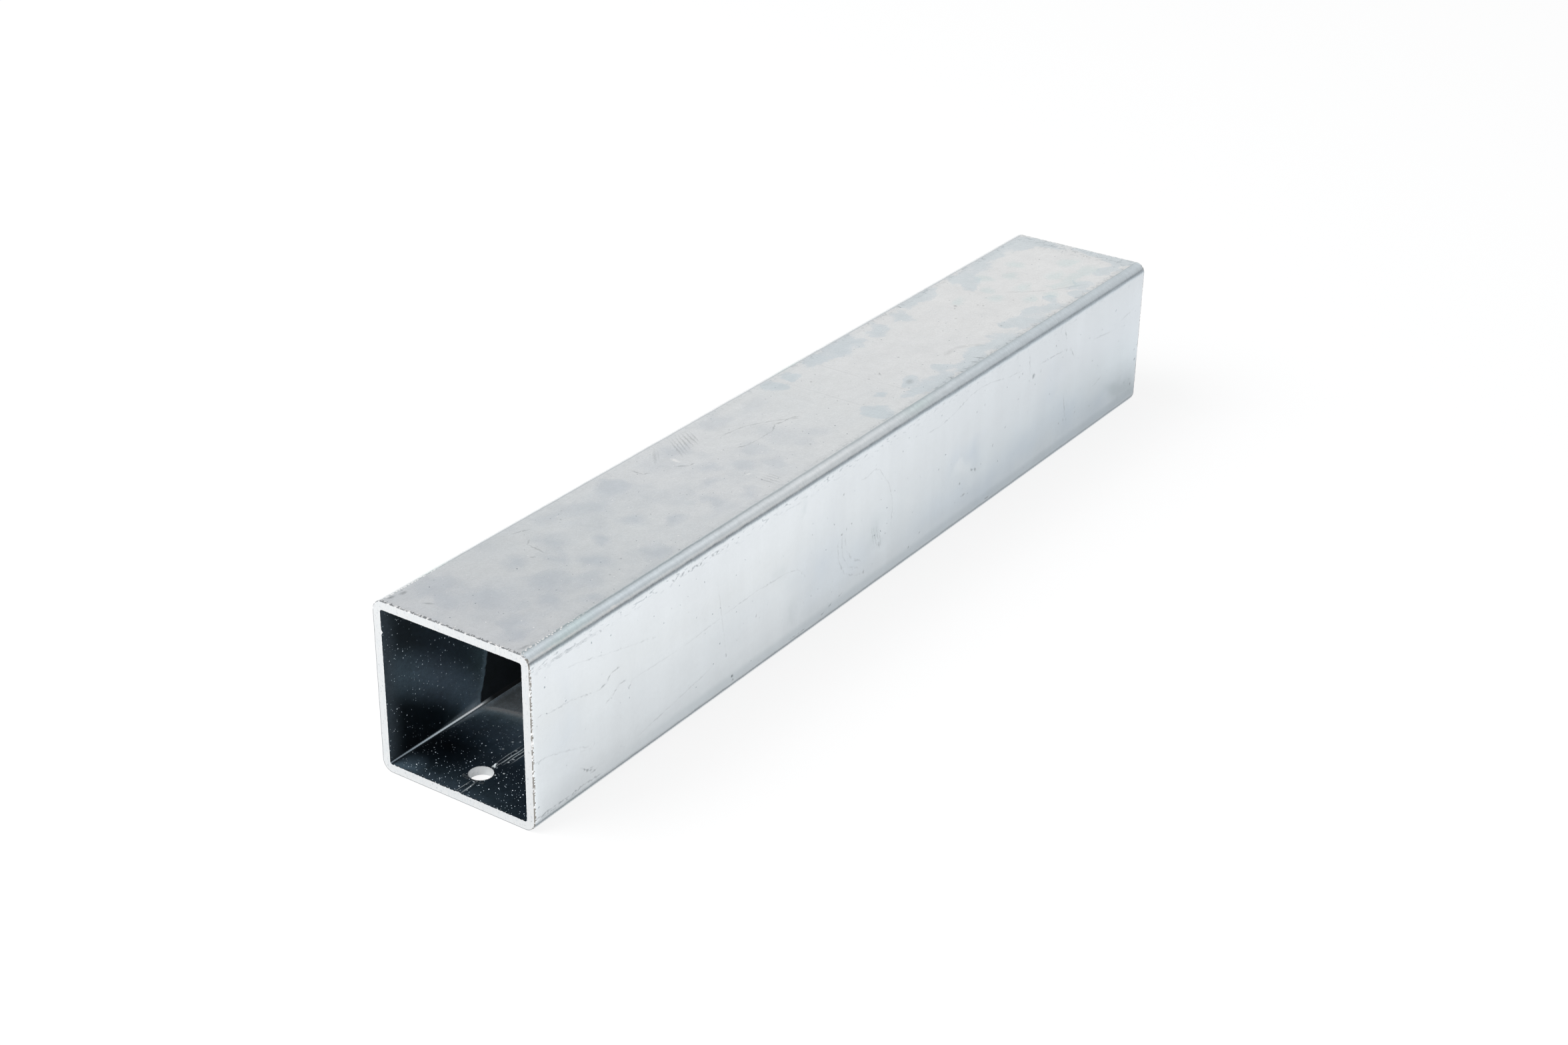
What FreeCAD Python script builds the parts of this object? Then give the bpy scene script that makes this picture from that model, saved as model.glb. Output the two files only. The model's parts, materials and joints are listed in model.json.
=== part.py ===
import FreeCAD, Part

import math
import os

# A cut length of square steel tube, roll-formed from galvanised strip and welded
# along the middle of its lower wall. It lies on that wall, with its length along X.
# The origin is the middle of the underside. The near end, at -X, is the one with the hole.

# Driving dimensions, in millimetres
width = 50.0
wall = 2.5
length = 320.0
outer_corner_radius = 3.25

# Cutting the tube off rolled its skin over a little, all round each end.
roll_over_length = 1.1
roll_over_drop = 0.15

# The weld left a low bead inside, in the middle of the lower wall.
# It breaks off at the hole and starts again a little way past it.
bead_width = 2.1
bead_height = 0.25
bead_gap_past_hole = 1.6

# One hole goes through the lower wall, a little to the +Y side of the weld.
hole_diameter = 6.5
hole_from_near_end = 10.0
hole_from_middle = 0.9

# How far a tool, or the root of the bead, runs past the surface that it meets
overrun = 1.0

# Worked out from the driving dimensions
hollow_width = width - 2 * wall
inner_corner_radius = max(outer_corner_radius - wall, 0.1)
near_end = -length / 2
far_end = length / 2
hole_x = near_end + hole_from_near_end
bead_restart_x = hole_x + hole_diameter / 2 + bead_gap_past_hole


def around(degrees, reach):
    """An offset across the tube, turned that far from +Y towards +Z."""
    angle = math.radians(degrees)
    return FreeCAD.Vector(0, reach * math.cos(angle), reach * math.sin(angle))


def round_square(x, side, radius):
    """A square outline with round corners, across the tube at x and centred on its axis."""
    centre = FreeCAD.Vector(x, 0, width / 2)
    to_corner = math.sqrt(2) * (side / 2 - radius)
    edges = []
    for start in (0, 90, 180, 270):
        corner = centre + around(start + 45, to_corner)
        next_corner = centre + around(start + 135, to_corner)
        bend = [corner + around(start + turn, radius) for turn in (0, 45, 90)]
        edges.append(Part.Arc(*bend).toShape())
        edges.append(Part.LineSegment(bend[-1], next_corner + around(start + 90, radius)).toShape())
    return Part.Wire(edges)


def outer_form():
    """The outside of the tube as one block, with its skin rolled over at both ends."""
    end_side = width - 2 * roll_over_drop
    end_radius = outer_corner_radius - roll_over_drop
    sections = [
        round_square(near_end, end_side, end_radius),
        round_square(near_end + roll_over_length, width, outer_corner_radius),
        round_square(far_end - roll_over_length, width, outer_corner_radius),
        round_square(far_end, end_side, end_radius),
    ]
    return Part.makeLoft(sections, True, True)


def hollow():
    """The space inside the tube, run past both ends."""
    outline = round_square(near_end - overrun, hollow_width, inner_corner_radius)
    return Part.Face(outline).extrude(FreeCAD.Vector(length + 2 * overrun, 0, 0))


def weld_bead(start_x, end_x):
    """A stretch of the bead: a low arch on the lower wall, rooted in it."""
    root = FreeCAD.Vector(0, 0, -min(overrun, wall / 2))
    left = FreeCAD.Vector(start_x, bead_width / 2, wall)
    crown = FreeCAD.Vector(start_x, 0, wall + bead_height)
    right = FreeCAD.Vector(start_x, -bead_width / 2, wall)
    outline = Part.Wire([
        Part.Arc(left, crown, right).toShape(),
        Part.LineSegment(right, right + root).toShape(),
        Part.LineSegment(right + root, left + root).toShape(),
        Part.LineSegment(left + root, left).toShape(),
    ])
    return Part.Face(outline).extrude(FreeCAD.Vector(end_x - start_x, 0, 0))


def hole_cutter():
    """The hole's own space, through the lower wall and the bead on it."""
    start = FreeCAD.Vector(hole_x, hole_from_middle, -overrun)
    depth = wall + bead_height + 2 * overrun
    return Part.makeCylinder(hole_diameter / 2, depth, start, FreeCAD.Vector(0, 0, 1))


def tube():
    """The whole tube, as one solid."""
    walls = outer_form().cut(hollow())
    beads = [weld_bead(near_end, hole_x), weld_bead(bead_restart_x, far_end)]
    return walls.fuse(beads).removeSplitter().cut(hole_cutter()).Solids[0]


os.makedirs("parts", exist_ok=True)
solid = tube()
solid.exportStep("parts/tube.step")
print("tube: %.1f mm3, %d faces, valid %s" % (solid.Volume, len(solid.Faces), solid.isValid()))
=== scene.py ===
import json
import math

import bpy
from mathutils import Matrix, Vector, noise


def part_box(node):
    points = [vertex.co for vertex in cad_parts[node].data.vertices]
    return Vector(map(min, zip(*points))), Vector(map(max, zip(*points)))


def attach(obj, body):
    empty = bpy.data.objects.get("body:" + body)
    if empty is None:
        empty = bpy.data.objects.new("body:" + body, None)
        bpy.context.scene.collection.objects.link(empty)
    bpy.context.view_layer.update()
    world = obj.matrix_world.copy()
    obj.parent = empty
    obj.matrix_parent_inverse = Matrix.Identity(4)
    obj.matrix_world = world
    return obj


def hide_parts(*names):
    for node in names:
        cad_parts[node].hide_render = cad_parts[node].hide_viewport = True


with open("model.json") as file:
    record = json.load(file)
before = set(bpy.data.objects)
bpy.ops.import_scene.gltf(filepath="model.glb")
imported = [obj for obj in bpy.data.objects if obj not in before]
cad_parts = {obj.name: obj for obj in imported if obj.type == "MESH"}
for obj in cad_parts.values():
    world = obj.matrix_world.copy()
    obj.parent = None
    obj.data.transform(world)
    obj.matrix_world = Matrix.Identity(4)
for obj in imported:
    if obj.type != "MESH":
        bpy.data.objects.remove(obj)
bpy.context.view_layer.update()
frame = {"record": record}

mm = 0.001

# What the frame says about the tube, in millimetres
boxLow, boxHigh = (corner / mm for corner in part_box("tube"))
mounts = {mount["name"]: mount for mount in frame["record"]["mounts"]}
holeMount = mounts["fixing_hole"]
outerWidth = boxHigh.z - boxLow.z
tubeLength = boxHigh.x - boxLow.x
wallThickness = holeMount["dims"]["length_mm"]
holeRadius = holeMount["dims"]["r_mm"]
holeX = holeMount["pos_m"][0] / mm
holeY = holeMount["pos_m"][1] / mm


def linear(hexColour):
    channels = [int(hexColour[start:start + 2], 16) / 255 for start in (1, 3, 5)]
    straight = [c / 12.92 if c <= 0.04045 else ((c + 0.055) / 1.055) ** 2.4 for c in channels]
    return (*straight, 1.0)


def addNode(tree, kind, inputs=None, **settings):
    # An input takes a plain value, a socket, or a node, which gives its first output.
    node = tree.nodes.new("ShaderNode" + kind)
    for name, value in settings.items():
        setattr(node, name, value)
    for socket, value in (inputs or {}).items():
        if isinstance(value, bpy.types.Node):
            value = value.outputs[0]
        if isinstance(value, bpy.types.NodeSocket):
            tree.links.new(value, node.inputs[socket])
        else:
            node.inputs[socket].default_value = value
    return node


# Camera
camera = {
    "position": (-533.06, -346.83, 337.77),  # mm
    "turn": -56.141,                          # degrees from the front, seen from above
    "tilt": 27.149,                           # degrees above level
    "roll": 1.031,
    "lens": 55.3135,                          # mm, on a 36 mm wide sensor
}


def makeCamera():
    turn, tilt, roll = (math.radians(camera[name]) for name in ("turn", "tilt", "roll"))
    back = Vector((math.sin(turn) * math.cos(tilt), -math.cos(turn) * math.cos(tilt), math.sin(tilt)))
    right = Vector((0, 0, 1)).cross(back).normalized()
    up = back.cross(right)
    axes = Matrix((right, up, back)).transposed() @ Matrix.Rotation(roll, 3, "Z")
    data = bpy.data.cameras.new("studioCamera")
    data.sensor_width = 36
    data.sensor_fit = "HORIZONTAL"
    data.lens = camera["lens"]
    data.clip_start = 0.01
    data.clip_end = 50
    eye = bpy.data.objects.new("studioCamera", data)
    bpy.context.scene.collection.objects.link(eye)
    eye.matrix_world = Matrix.Translation(Vector(camera["position"]) * mm) @ axes.to_4x4()
    bpy.context.scene.camera = eye


makeCamera()
print("camera placed")


# Floor, light and background
studio = {
    "floorSize": 8.0,            # m
    "floorColour": "#F2F3F4",
    "whiteSeen": 0.85,           # how far the floor goes to plain white for the camera
    "whiteReflected": 0.35,      # and for reflections, which keep more of the shadow
    "skyLevel": 0.55,            # what the sky gives to surfaces that don't shine
    "keySize": 1.4,              # m
    "keyPlace": (-0.9, 0.8, 1.5),
    "keyPower": 40.0,            # W
    # Brightness of the sky from level (0) to straight up (1), as pairs of height and level
    "skyBehind": ((0.0, 1.0), (0.34, 0.92), (0.5, 0.64), (0.68, 0.76), (1.0, 0.86)),
    "skyInFront": ((0.0, 0.34), (0.12, 0.42), (0.26, 0.56), (0.5, 0.68), (0.67, 0.8), (1.0, 0.86)),
    "skyMeets": (-0.3, 0.2),     # where the one turns into the other, along Y
}


def shinyOrSeen(tree):
    # 1 for camera, glossy and transmission rays
    path = addNode(tree, "LightPath")
    seen = addNode(tree, "Math", {0: path.outputs["Is Camera Ray"], 1: path.outputs["Is Glossy Ray"]},
                   operation="MAXIMUM")
    seen = addNode(tree, "Math", {0: seen, 1: path.outputs["Is Transmission Ray"]}, operation="MAXIMUM")
    return path, seen


def makeFloor():
    mesh = bpy.data.meshes.new("floor")
    reach = studio["floorSize"] / 2
    corners = [(-reach, -reach), (reach, -reach), (reach, reach), (-reach, reach)]
    mesh.from_pydata([(x, y, boxLow.z * mm) for x, y in corners], [], [(0, 1, 2, 3)])
    floor = bpy.data.objects.new("floor", mesh)
    bpy.context.scene.collection.objects.link(floor)
    material = bpy.data.materials.new("whitePaper")
    material.use_nodes = True
    tree = material.node_tree
    tree.nodes.clear()
    paper = addNode(tree, "BsdfDiffuse", {"Color": linear(studio["floorColour"])})
    white = addNode(tree, "Emission", {"Color": (1, 1, 1, 1), "Strength": 1.0})
    path, seen = shinyOrSeen(tree)
    weight = addNode(tree, "Mix", {0: path.outputs["Is Camera Ray"], 2: studio["whiteReflected"],
                                   3: studio["whiteSeen"]}, data_type="FLOAT")
    share = addNode(tree, "Math", {0: seen, 1: weight}, operation="MULTIPLY")
    mixed = addNode(tree, "MixShader", {0: share, 1: paper, 2: white})
    addNode(tree, "OutputMaterial", {"Surface": mixed})
    mesh.materials.append(material)


def layStops(ramp, stops):
    # Gives a colour ramp its stops, each a place from 0 to 1 and a colour
    while len(ramp.color_ramp.elements) < len(stops):
        ramp.color_ramp.elements.new(0.5)
    for element, (at, colour) in zip(ramp.color_ramp.elements, stops):
        element.position = at
        element.color = colour
    return ramp


def greyBy(tree, height, levels):
    stops = [(at, (grey, grey, grey, 1)) for at, grey in levels]
    return layStops(addNode(tree, "ValToRGB", {0: height}), stops)


def makeSky():
    # Bright low down behind the tube. A soft grey overhead, and a darker room behind the camera.
    world = bpy.data.worlds.new("studio")
    bpy.context.scene.world = world
    world.use_nodes = True
    tree = world.node_tree
    tree.nodes.clear()
    place = addNode(tree, "TexCoord")
    axes = addNode(tree, "SeparateXYZ", {0: place.outputs["Generated"]})
    height = axes.outputs["Z"]
    front, back = studio["skyMeets"]
    towardsBack = addNode(tree, "MapRange", {0: axes.outputs["Y"], 1: front, 2: back},
                          interpolation_type="SMOOTHSTEP")
    gradient = addNode(tree, "Mix", {
        0: towardsBack, 6: greyBy(tree, height, studio["skyInFront"]),
        7: greyBy(tree, height, studio["skyBehind"])}, data_type="RGBA").outputs[2]
    below = addNode(tree, "Math", {0: height, 1: 0.0}, operation="LESS_THAN")
    path, seen = shinyOrSeen(tree)
    plain = addNode(tree, "Math", {0: below, 1: path.outputs["Is Camera Ray"]}, operation="MAXIMUM")
    shown = addNode(tree, "Mix", {0: plain, 6: gradient, 7: (1, 1, 1, 1)}, data_type="RGBA").outputs[2]
    dim = addNode(tree, "Background", {"Color": (1, 1, 1, 1), "Strength": studio["skyLevel"]})
    bright = addNode(tree, "Background", {"Color": shown, "Strength": 1.0})
    mixed = addNode(tree, "MixShader", {0: seen, 1: dim, 2: bright})
    addNode(tree, "OutputWorld", {"Surface": mixed})


def makeLamp():
    data = bpy.data.lights.new("softbox", "AREA")
    data.shape = "SQUARE"
    data.size = studio["keySize"]
    data.energy = studio["keyPower"]
    lamp = bpy.data.objects.new("softbox", data)
    bpy.context.scene.collection.objects.link(lamp)
    lamp.location = studio["keyPlace"]
    lamp.rotation_euler = (-lamp.location).to_track_quat("-Z", "Y").to_euler()
    # The sky alone shows in the metal, so no face burns out from above.
    lamp.visible_glossy = False


makeFloor()
makeSky()
makeLamp()
bpy.context.scene.view_settings.view_transform = "Standard"
print("floor, sky and lamp made")


# Materials
def startMaterial(name):
    # Every mark is placed in millimetres: along the tube, then y, z or the way round a bend.
    material = bpy.data.materials.new(name)
    material.use_nodes = True
    tree = material.node_tree
    tree.nodes.clear()
    return material, tree, addNode(tree, "UVMap", uv_map="strip")


def wobble(tree, place, *waves):
    # Moves places about, so that what is drawn there loses its neat outline. Each wave is its size and
    # about how far it moves them. Noise stays near its middle, so it is spread six times over.
    for size, reach in waves:
        haze = addNode(tree, "TexNoise", {"Vector": place, "Scale": 1 / size, "Detail": 2.0},
                       noise_dimensions="2D")
        shift = addNode(tree, "VectorMath", {0: haze.outputs["Color"], 1: (0.5, 0.5, 0.5)},
                        operation="SUBTRACT")
        place = addNode(tree, "VectorMath", {0: shift, 1: (6 * reach, 6 * reach, 0), 2: place},
                        operation="MULTIPLY_ADD")
    return place


def sumSpots(tree, place, spots):
    # Soft spots, each given as x, across, reach, breadth and then, if need be, turn and strength
    total = 0.0
    for spot in spots:
        x, v, reach, breadth, turn, strength = spot + (0, 1)[len(spot) - 4:]
        local = addNode(tree, "Mapping", {
            "Vector": place, "Location": (x, v, 0), "Scale": (reach, breadth, 1),
            "Rotation": (0, 0, math.radians(turn))}, vector_type="TEXTURE")
        cone = addNode(tree, "TexGradient", {0: local}, gradient_type="SPHERICAL").outputs["Fac"]
        total = addNode(tree, "Math", {0: cone, 1: strength, 2: total}, operation="MULTIPLY_ADD")
    return total


def stains(tree, place, spots, faint, full):
    # A mask of soft spots, which comes in smoothly between those two levels of them
    return addNode(tree, "MapRange", {0: sumSpots(tree, place, spots), 1: faint, 2: full},
                   interpolation_type="SMOOTHSTEP")


def alongLines(entries):
    # Each entry is a width, a strength and a line's points. A stretch is one long thin spot.
    spots = []
    for width, strength, *points in entries:
        for (x, v), (nextX, nextV) in zip(points, points[1:]):
            reach = math.hypot(nextX - x, nextV - v) * 0.62     # over half, so that stretches run together
            turn = math.degrees(math.atan2(nextV - v, nextX - x))
            spots.append(((x + nextX) / 2, (v + nextV) / 2, reach, width * 0.8, turn, strength))
    return spots


def atDots(entries):
    # Each entry is a width, a strength and the points that have such a dot.
    return [(x, v, width, width, 0, strength) for width, strength, *points in entries for x, v in points]


def layFilms(tree, ground, films):
    # Films over a ground colour, each a way of mixing, a colour and a mask
    for blend, colour, mask in films:
        top = linear(colour) if isinstance(colour, str) else colour
        ground = addNode(tree, "Mix", {0: mask, 6: ground, 7: top}, data_type="RGBA",
                         blend_type=blend).outputs[2]
    return ground


def scatter(tree, place, cell, reach, share):
    # A mask of small uneven dots, by the mm from one place to the next, their reach as a share of that,
    # and the share of the places that have one
    cells = addNode(tree, "TexVoronoi", {"Vector": place, "Scale": 1 / cell}, voronoi_dimensions="2D")
    draw = addNode(tree, "SeparateColor", {0: cells.outputs["Color"]})
    size = addNode(tree, "Math", {0: draw.outputs["Green"], 1: reach, 2: reach * 0.5},
                   operation="MULTIPLY_ADD")
    close = addNode(tree, "Math", {0: cells.outputs["Distance"], 1: size}, operation="LESS_THAN")
    picked = addNode(tree, "Math", {0: draw.outputs["Red"], 1: share}, operation="LESS_THAN")
    return addNode(tree, "Math", {0: close, 1: picked}, operation="MULTIPLY")


def mottle(tree, place, colour, layers):
    # Makes a colour uneven with layers of noise, each its size along and across in mm and its depth
    factor = 1.0
    for length, breadth, depth in layers:
        local = addNode(tree, "Mapping", {"Vector": place, "Scale": (1 / length, 1 / breadth, 1)})
        cloud = addNode(tree, "TexNoise", {"Vector": local, "Scale": 1.0, "Detail": 2.0},
                        noise_dimensions="2D")
        layer = addNode(tree, "MapRange", {0: cloud, 1: 0.25, 2: 0.75, 3: 1 - depth, 4: 1 + depth})
        factor = addNode(tree, "Math", {0: layer, 1: factor}, operation="MULTIPLY")
    return addNode(tree, "VectorMath", {0: colour, "Scale": factor}, operation="SCALE")


def colourBy(tree, value, span, stops):
    # A colour that changes with a value, by stops in millimetres up to the span
    share = addNode(tree, "Math", {0: value, 1: span}, operation="DIVIDE")
    return layStops(addNode(tree, "ValToRGB", {0: share}), [(at / span, linear(hue)) for at, hue in stops])


zincSkin = {
    "grain": 1.4,        # mm, from one soft rise of the skin to the next
    "relief": 0.008,     # mm
}


def finishZinc(tree, place, colour, roughness):
    # Hot-dip zinc skinned by rollers: a satin metal, a little uneven to the light
    grain = addNode(tree, "TexNoise", {"Vector": place, "Scale": 1 / zincSkin["grain"], "Detail": 2.0},
                    noise_dimensions="2D")
    bump = addNode(tree, "Bump", {"Height": grain, "Strength": 1.0, "Distance": zincSkin["relief"] * mm})
    surface = addNode(tree, "BsdfPrincipled", {
        "Base Color": colour, "Metallic": 1.0, "Roughness": roughness, "Normal": bump})
    addNode(tree, "OutputMaterial", {"Surface": surface})


# What the dictionaries below draw on the metal is placed in mm: x along the tube from its middle, and then
# y on the top, z on the side or the way round a bend. Drift and shake are waves for wobble. Lines and dots
# start with a width and a strength.
topZinc = {
    # Colour along the tube, as mm from the near end. The far half is painted brighter, a painted reflection
    # of the brighter sky it faces, and it is a little warmer.
    "alongColours": ((0, "#E2E5E8"), (40, "#E4E8EA"), (70, "#E8ECEE"), (100, "#EBEEF0"), (160, "#EDF0F1"),
                     (190, "#EEF0F1"), (250, "#EFF0F0"), (320, "#EEEFEF")),
    "roughness": 0.25,
    "dulling": 0.04,             # what the clouds add to it
    "drift": ((9.0, 1.2), (2.6, 0.35)),
    "shake": (1.2, 0.12),
    "mottle": [(11, 8, 0.02), (3.2, 2.4, 0.02), (0.8, 0.6, 0.025), (0.35, 0.3, 0.03)],
    "frayGrain": 5.0,            # mm, the unevenness of the clouds' edges
    "broadGrain": 16.0,          # mm, the weak clouds between the strong ones
    "grimeGrain": 1.6,
    "grimeBreadth": 2.6,         # mm from the bends
    "pits": (2.9, 0.045, 0.22),  # as scatter takes them
    "glints": (5.3, 0.025, 0.3),
    "cloudColour": "#ECEFF3",
    "patchHaloColour": "#F5FAFB",
    "patchColour": "#F4F7FB",
    "tealColour": "#F4FBFB",
    "grimeColour": "#DADDDF",
    "scratchColour": "#5C6664",
    "pitColour": "#C0C5C9",
    "scuffColour": "#FDFEFE",
    "glintColour": "#FAFBFC",
    # Dull clouds of the near half, as x, y, reach, breadth
    "clouds": [
        (-146, 14.5, 8, 7), (-150, 8, 5, 6), (-125, 8.5, 6, 5), (-118, 1.5, 6.5, 6), (-103.5, -1.5, 4, 4),
        (-111, 7, 6, 7), (-127, -5, 8, 6), (-112, -7.5, 5, 6), (-135, -12, 5, 5),
        (-121, -12.5, 6, 4.5, 0, 0.6), (-86, 13, 10, 7, 0, 0.6), (-89, -2, 5, 5), (-141, 4, 8, 9),
        (-77, 15.5, 6, 5), (-59, -5, 5, 4.5),
        (-45, -6, 3.5, 4.5), (-67, -11.5, 5, 4), (-58, -17, 5, 4.5), (-51.5, 1, 4, 5), (-49, 16, 6, 6),
        (-27, 16.5, 8, 4), (-12, 15, 7, 5), (-35, -1, 5, 6), (-38, -12, 5, 4), (-154, -15, 5, 5),
        (-82, -10.5, 5, 4), (-149, -11, 5, 4), (-15, -11, 5, 4), (-23, -11, 4, 4), (-100, -18, 7, 5),
        (-129, -19, 5, 4), (-140, -3, 9, 7, 0, 0.35), (-145, 0, 7, 6, 0, 0.4), (-98, 17, 9, 5, 0, 0.7),
        (-72, -17, 9, 5, 0, 0.6), (-57, 4, 7, 6, 0, 0.5), (-22, -2, 8, 8, 0, 0.5), (-8, 16, 6, 5, 0, 0.7),
    ],
    # Crisp bluish patches of the far half
    "patches": [
        (3, 17, 5, 6), (13, 18, 5, 4), (27, 19, 9, 6), (42, 18, 12, 8), (58, 16, 7, 6), (73, 17, 6, 7),
        (84, 21, 8, 5), (92, 20, 9, 6), (111, 17.5, 8, 8), (106, 12, 5, 2.5, 35), (125, 19.5, 13, 6, 12),
        (138, 20.5, 7, 5), (149, 19, 8, 9), (154, 18, 9, 8), (157, 9, 5, 7), (158, -3, 4, 8),
        (157, -14, 5, 10), (6, -17, 7, 6), (17, -11, 4, 2.5), (30, -12.5, 6, 3.5, 20), (27, -19, 8, 5),
        (37, -19, 8, 6), (46, -14.5, 6, 4), (52, -20, 10, 4), (62, -17, 9, 5), (70, -19, 6, 5),
        (76, -18, 8, 7), (92, -17.5, 11, 7), (85, -13, 3, 2), (101, -14, 5, 4), (107, -19, 9, 4),
        (113, -14.5, 4, 3.5), (122, -20, 7, 3), (129.5, -17, 8, 4, -30),
        (145, -16, 5, 4.5), (149, -19, 5, 4), (158, -19, 8, 5),
    ],
    "tealPatches": [
        (133, 10, 5, 4), (117, -2.5, 5, 4), (124, 5, 6, 4), (116, 12, 5, 4), (108, 6.5, 5, 4),
        (103, 0.5, 5, 4), (94, 8.5, 6, 4), (146, -4, 6, 5), (109, -9, 5, 3), (133, -6, 6, 4),
        (124, -10.5, 5, 3), (138, -12, 6, 4), (116, -13, 6, 4), (131, -13, 7, 5), (144, -12, 6, 4),
    ],
    "darkLines": [
        (0.5, 0.3, (-44.5, 20), (-50.5, 11)), (0.45, 0.26, (-43, 20.5), (-49, 11)),
        (0.45, 0.3, (-41.4, 20.5), (-47.6, 11.5)), (0.5, 0.32, (-40, 20.5), (-45.6, 12)),
        (0.5, 0.34, (-38.6, 20.5), (-43.4, 12.5)), (0.45, 0.3, (-37.4, 20), (-41.8, 12)),
        (0.45, 0.26, (-36.4, 19), (-40.4, 12.5)), (0.8, 0.18, (-50.5, 21), (-59, 14)),
        (0.5, 0.16, (-51, 19.5), (-56, 15)), (2.2, 0.1, (-38, 18), (-42, 13)),
        (0.5, 0.26, (-49.4, -14), (-49.4, -19.5)), (0.5, 0.26, (-48, -14), (-48, -20)),
        (0.5, 0.24, (-46.6, -14), (-46.6, -19)), (0.5, 0.2, (-45.4, -14.5), (-45.4, -19)),
        (0.9, 0.6, (-158.6, 21.3), (-156, 20.9)), (1.0, 0.5, (-155, 20.4), (-152.6, 20)),
        (0.8, 0.4, (-158.6, -20.6), (-155, -21.4)), (0.7, 0.4, (-155, 13), (-153.4, 10.4)),
        (0.5, 0.26, (-33, 10), (-28, 9.5), (-24, 8.5), (-19, 6), (-16, 4), (-13, 1.6), (-10, -1)),
        (0.5, 0.4, (-37, 2.2), (-34.4, 1)), (0.5, 0.22, (-35, 1), (-29, 0.4), (-22, 0.5)),
        (0.5, 0.4, (-22, 0.5), (-18, 2.5), (-15, 1.5), (-12, 1.5), (-9.5, 0)),
        (0.45, 0.34, (-117, 5), (-116, 12), (-113.5, 13.5)), (0.5, 0.34, (-114, 19), (-109, 17)),
        (0.5, 0.3, (110, 0), (114, -5), (119, -10)), (0.5, 0.2, (119, -10), (132, -18)),
        (0.45, 0.36, (-66, 17), (-66, 13), (-64, 12)), (0.6, 0.36, (-57, 9), (-54, 6), (-52, 6)),
        (0.4, 0.5, (29.2, -3.2), (30.8, -1.8)), (0.35, 0.4, (-121, 7.2), (-120, 5.8)),
        (1.8, 0.16, (53, -11), (60, -10.5), (65, -13), (68, -17)),
        (1.9, 0.3, (28.5, -13.2), (32.5, -12)), (0.5, 0.45, (29, 21), (29, 22)),
        (0.5, 0.45, (61, 20.8), (61, 22)), (0.5, 0.45, (67, 21), (67, 22)),
        (0.5, 0.45, (70.4, 20.5), (71.4, 22)), (0.7, 0.55, (78.5, 20), (78.5, 22)),
        (0.5, 0.45, (119, 20.8), (119, 22)), (0.5, 0.45, (131, 20.5), (132, 22)),
        (0.5, 0.5, (-153, 21), (-153, 22)), (0.5, 0.5, (40, -20.3), (40, -22)),
        (0.5, 0.4, (46, -21), (46, -22)), (0.6, 0.5, (54, -19.5), (55.5, -22)),
        (0.7, 0.6, (57.5, -18.5), (59, -22)), (0.5, 0.4, (73, -20.8), (73, -22)),
        (0.6, 0.1, (24.8, -22), (24.8, -4), (24.8, 22)), (0.6, 0.08, (7.8, -21), (7.8, 21)),
    ],
    "darkDots": [
        (0.8, 0.6, (90, 7)), (0.5, 0.5, (88, 6), (95, 1.5), (95.5, 0)), (0.5, 0.45, (105.5, -5.5)),
        (0.5, 0.4, (81, 1.5), (154, -5), (44, -0.3), (18.3, 13), (13, 11), (24.7, -2)),
        (0.4, 0.4, (154.3, -6)), (0.6, 0.5, (84.5, -13)), (0.5, 0.35, (-23, -13)),
        (0.4, 0.35, (-116.5, -15), (-108, -12), (-100, 14), (-96, 17)),
    ],
    "whiteLines": [
        (1.1, 1.6, (-54, 9.3), (-53.6, 12.7)), (0.5, 1.1, (-49.8, -9.6), (-47.8, -10.4)),
        (0.4, 0.6, (-35.8, -5), (-34.2, -5)),
    ],
    "whiteDots": [
        (0.5, 0.5, (27.5, -15)), (0.35, 0.5, (-137, 12)), (0.3, 0.5, (-96, -4)),
        (0.3, 0.4, (-70, 6), (64, 4)),
    ],
}


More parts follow.
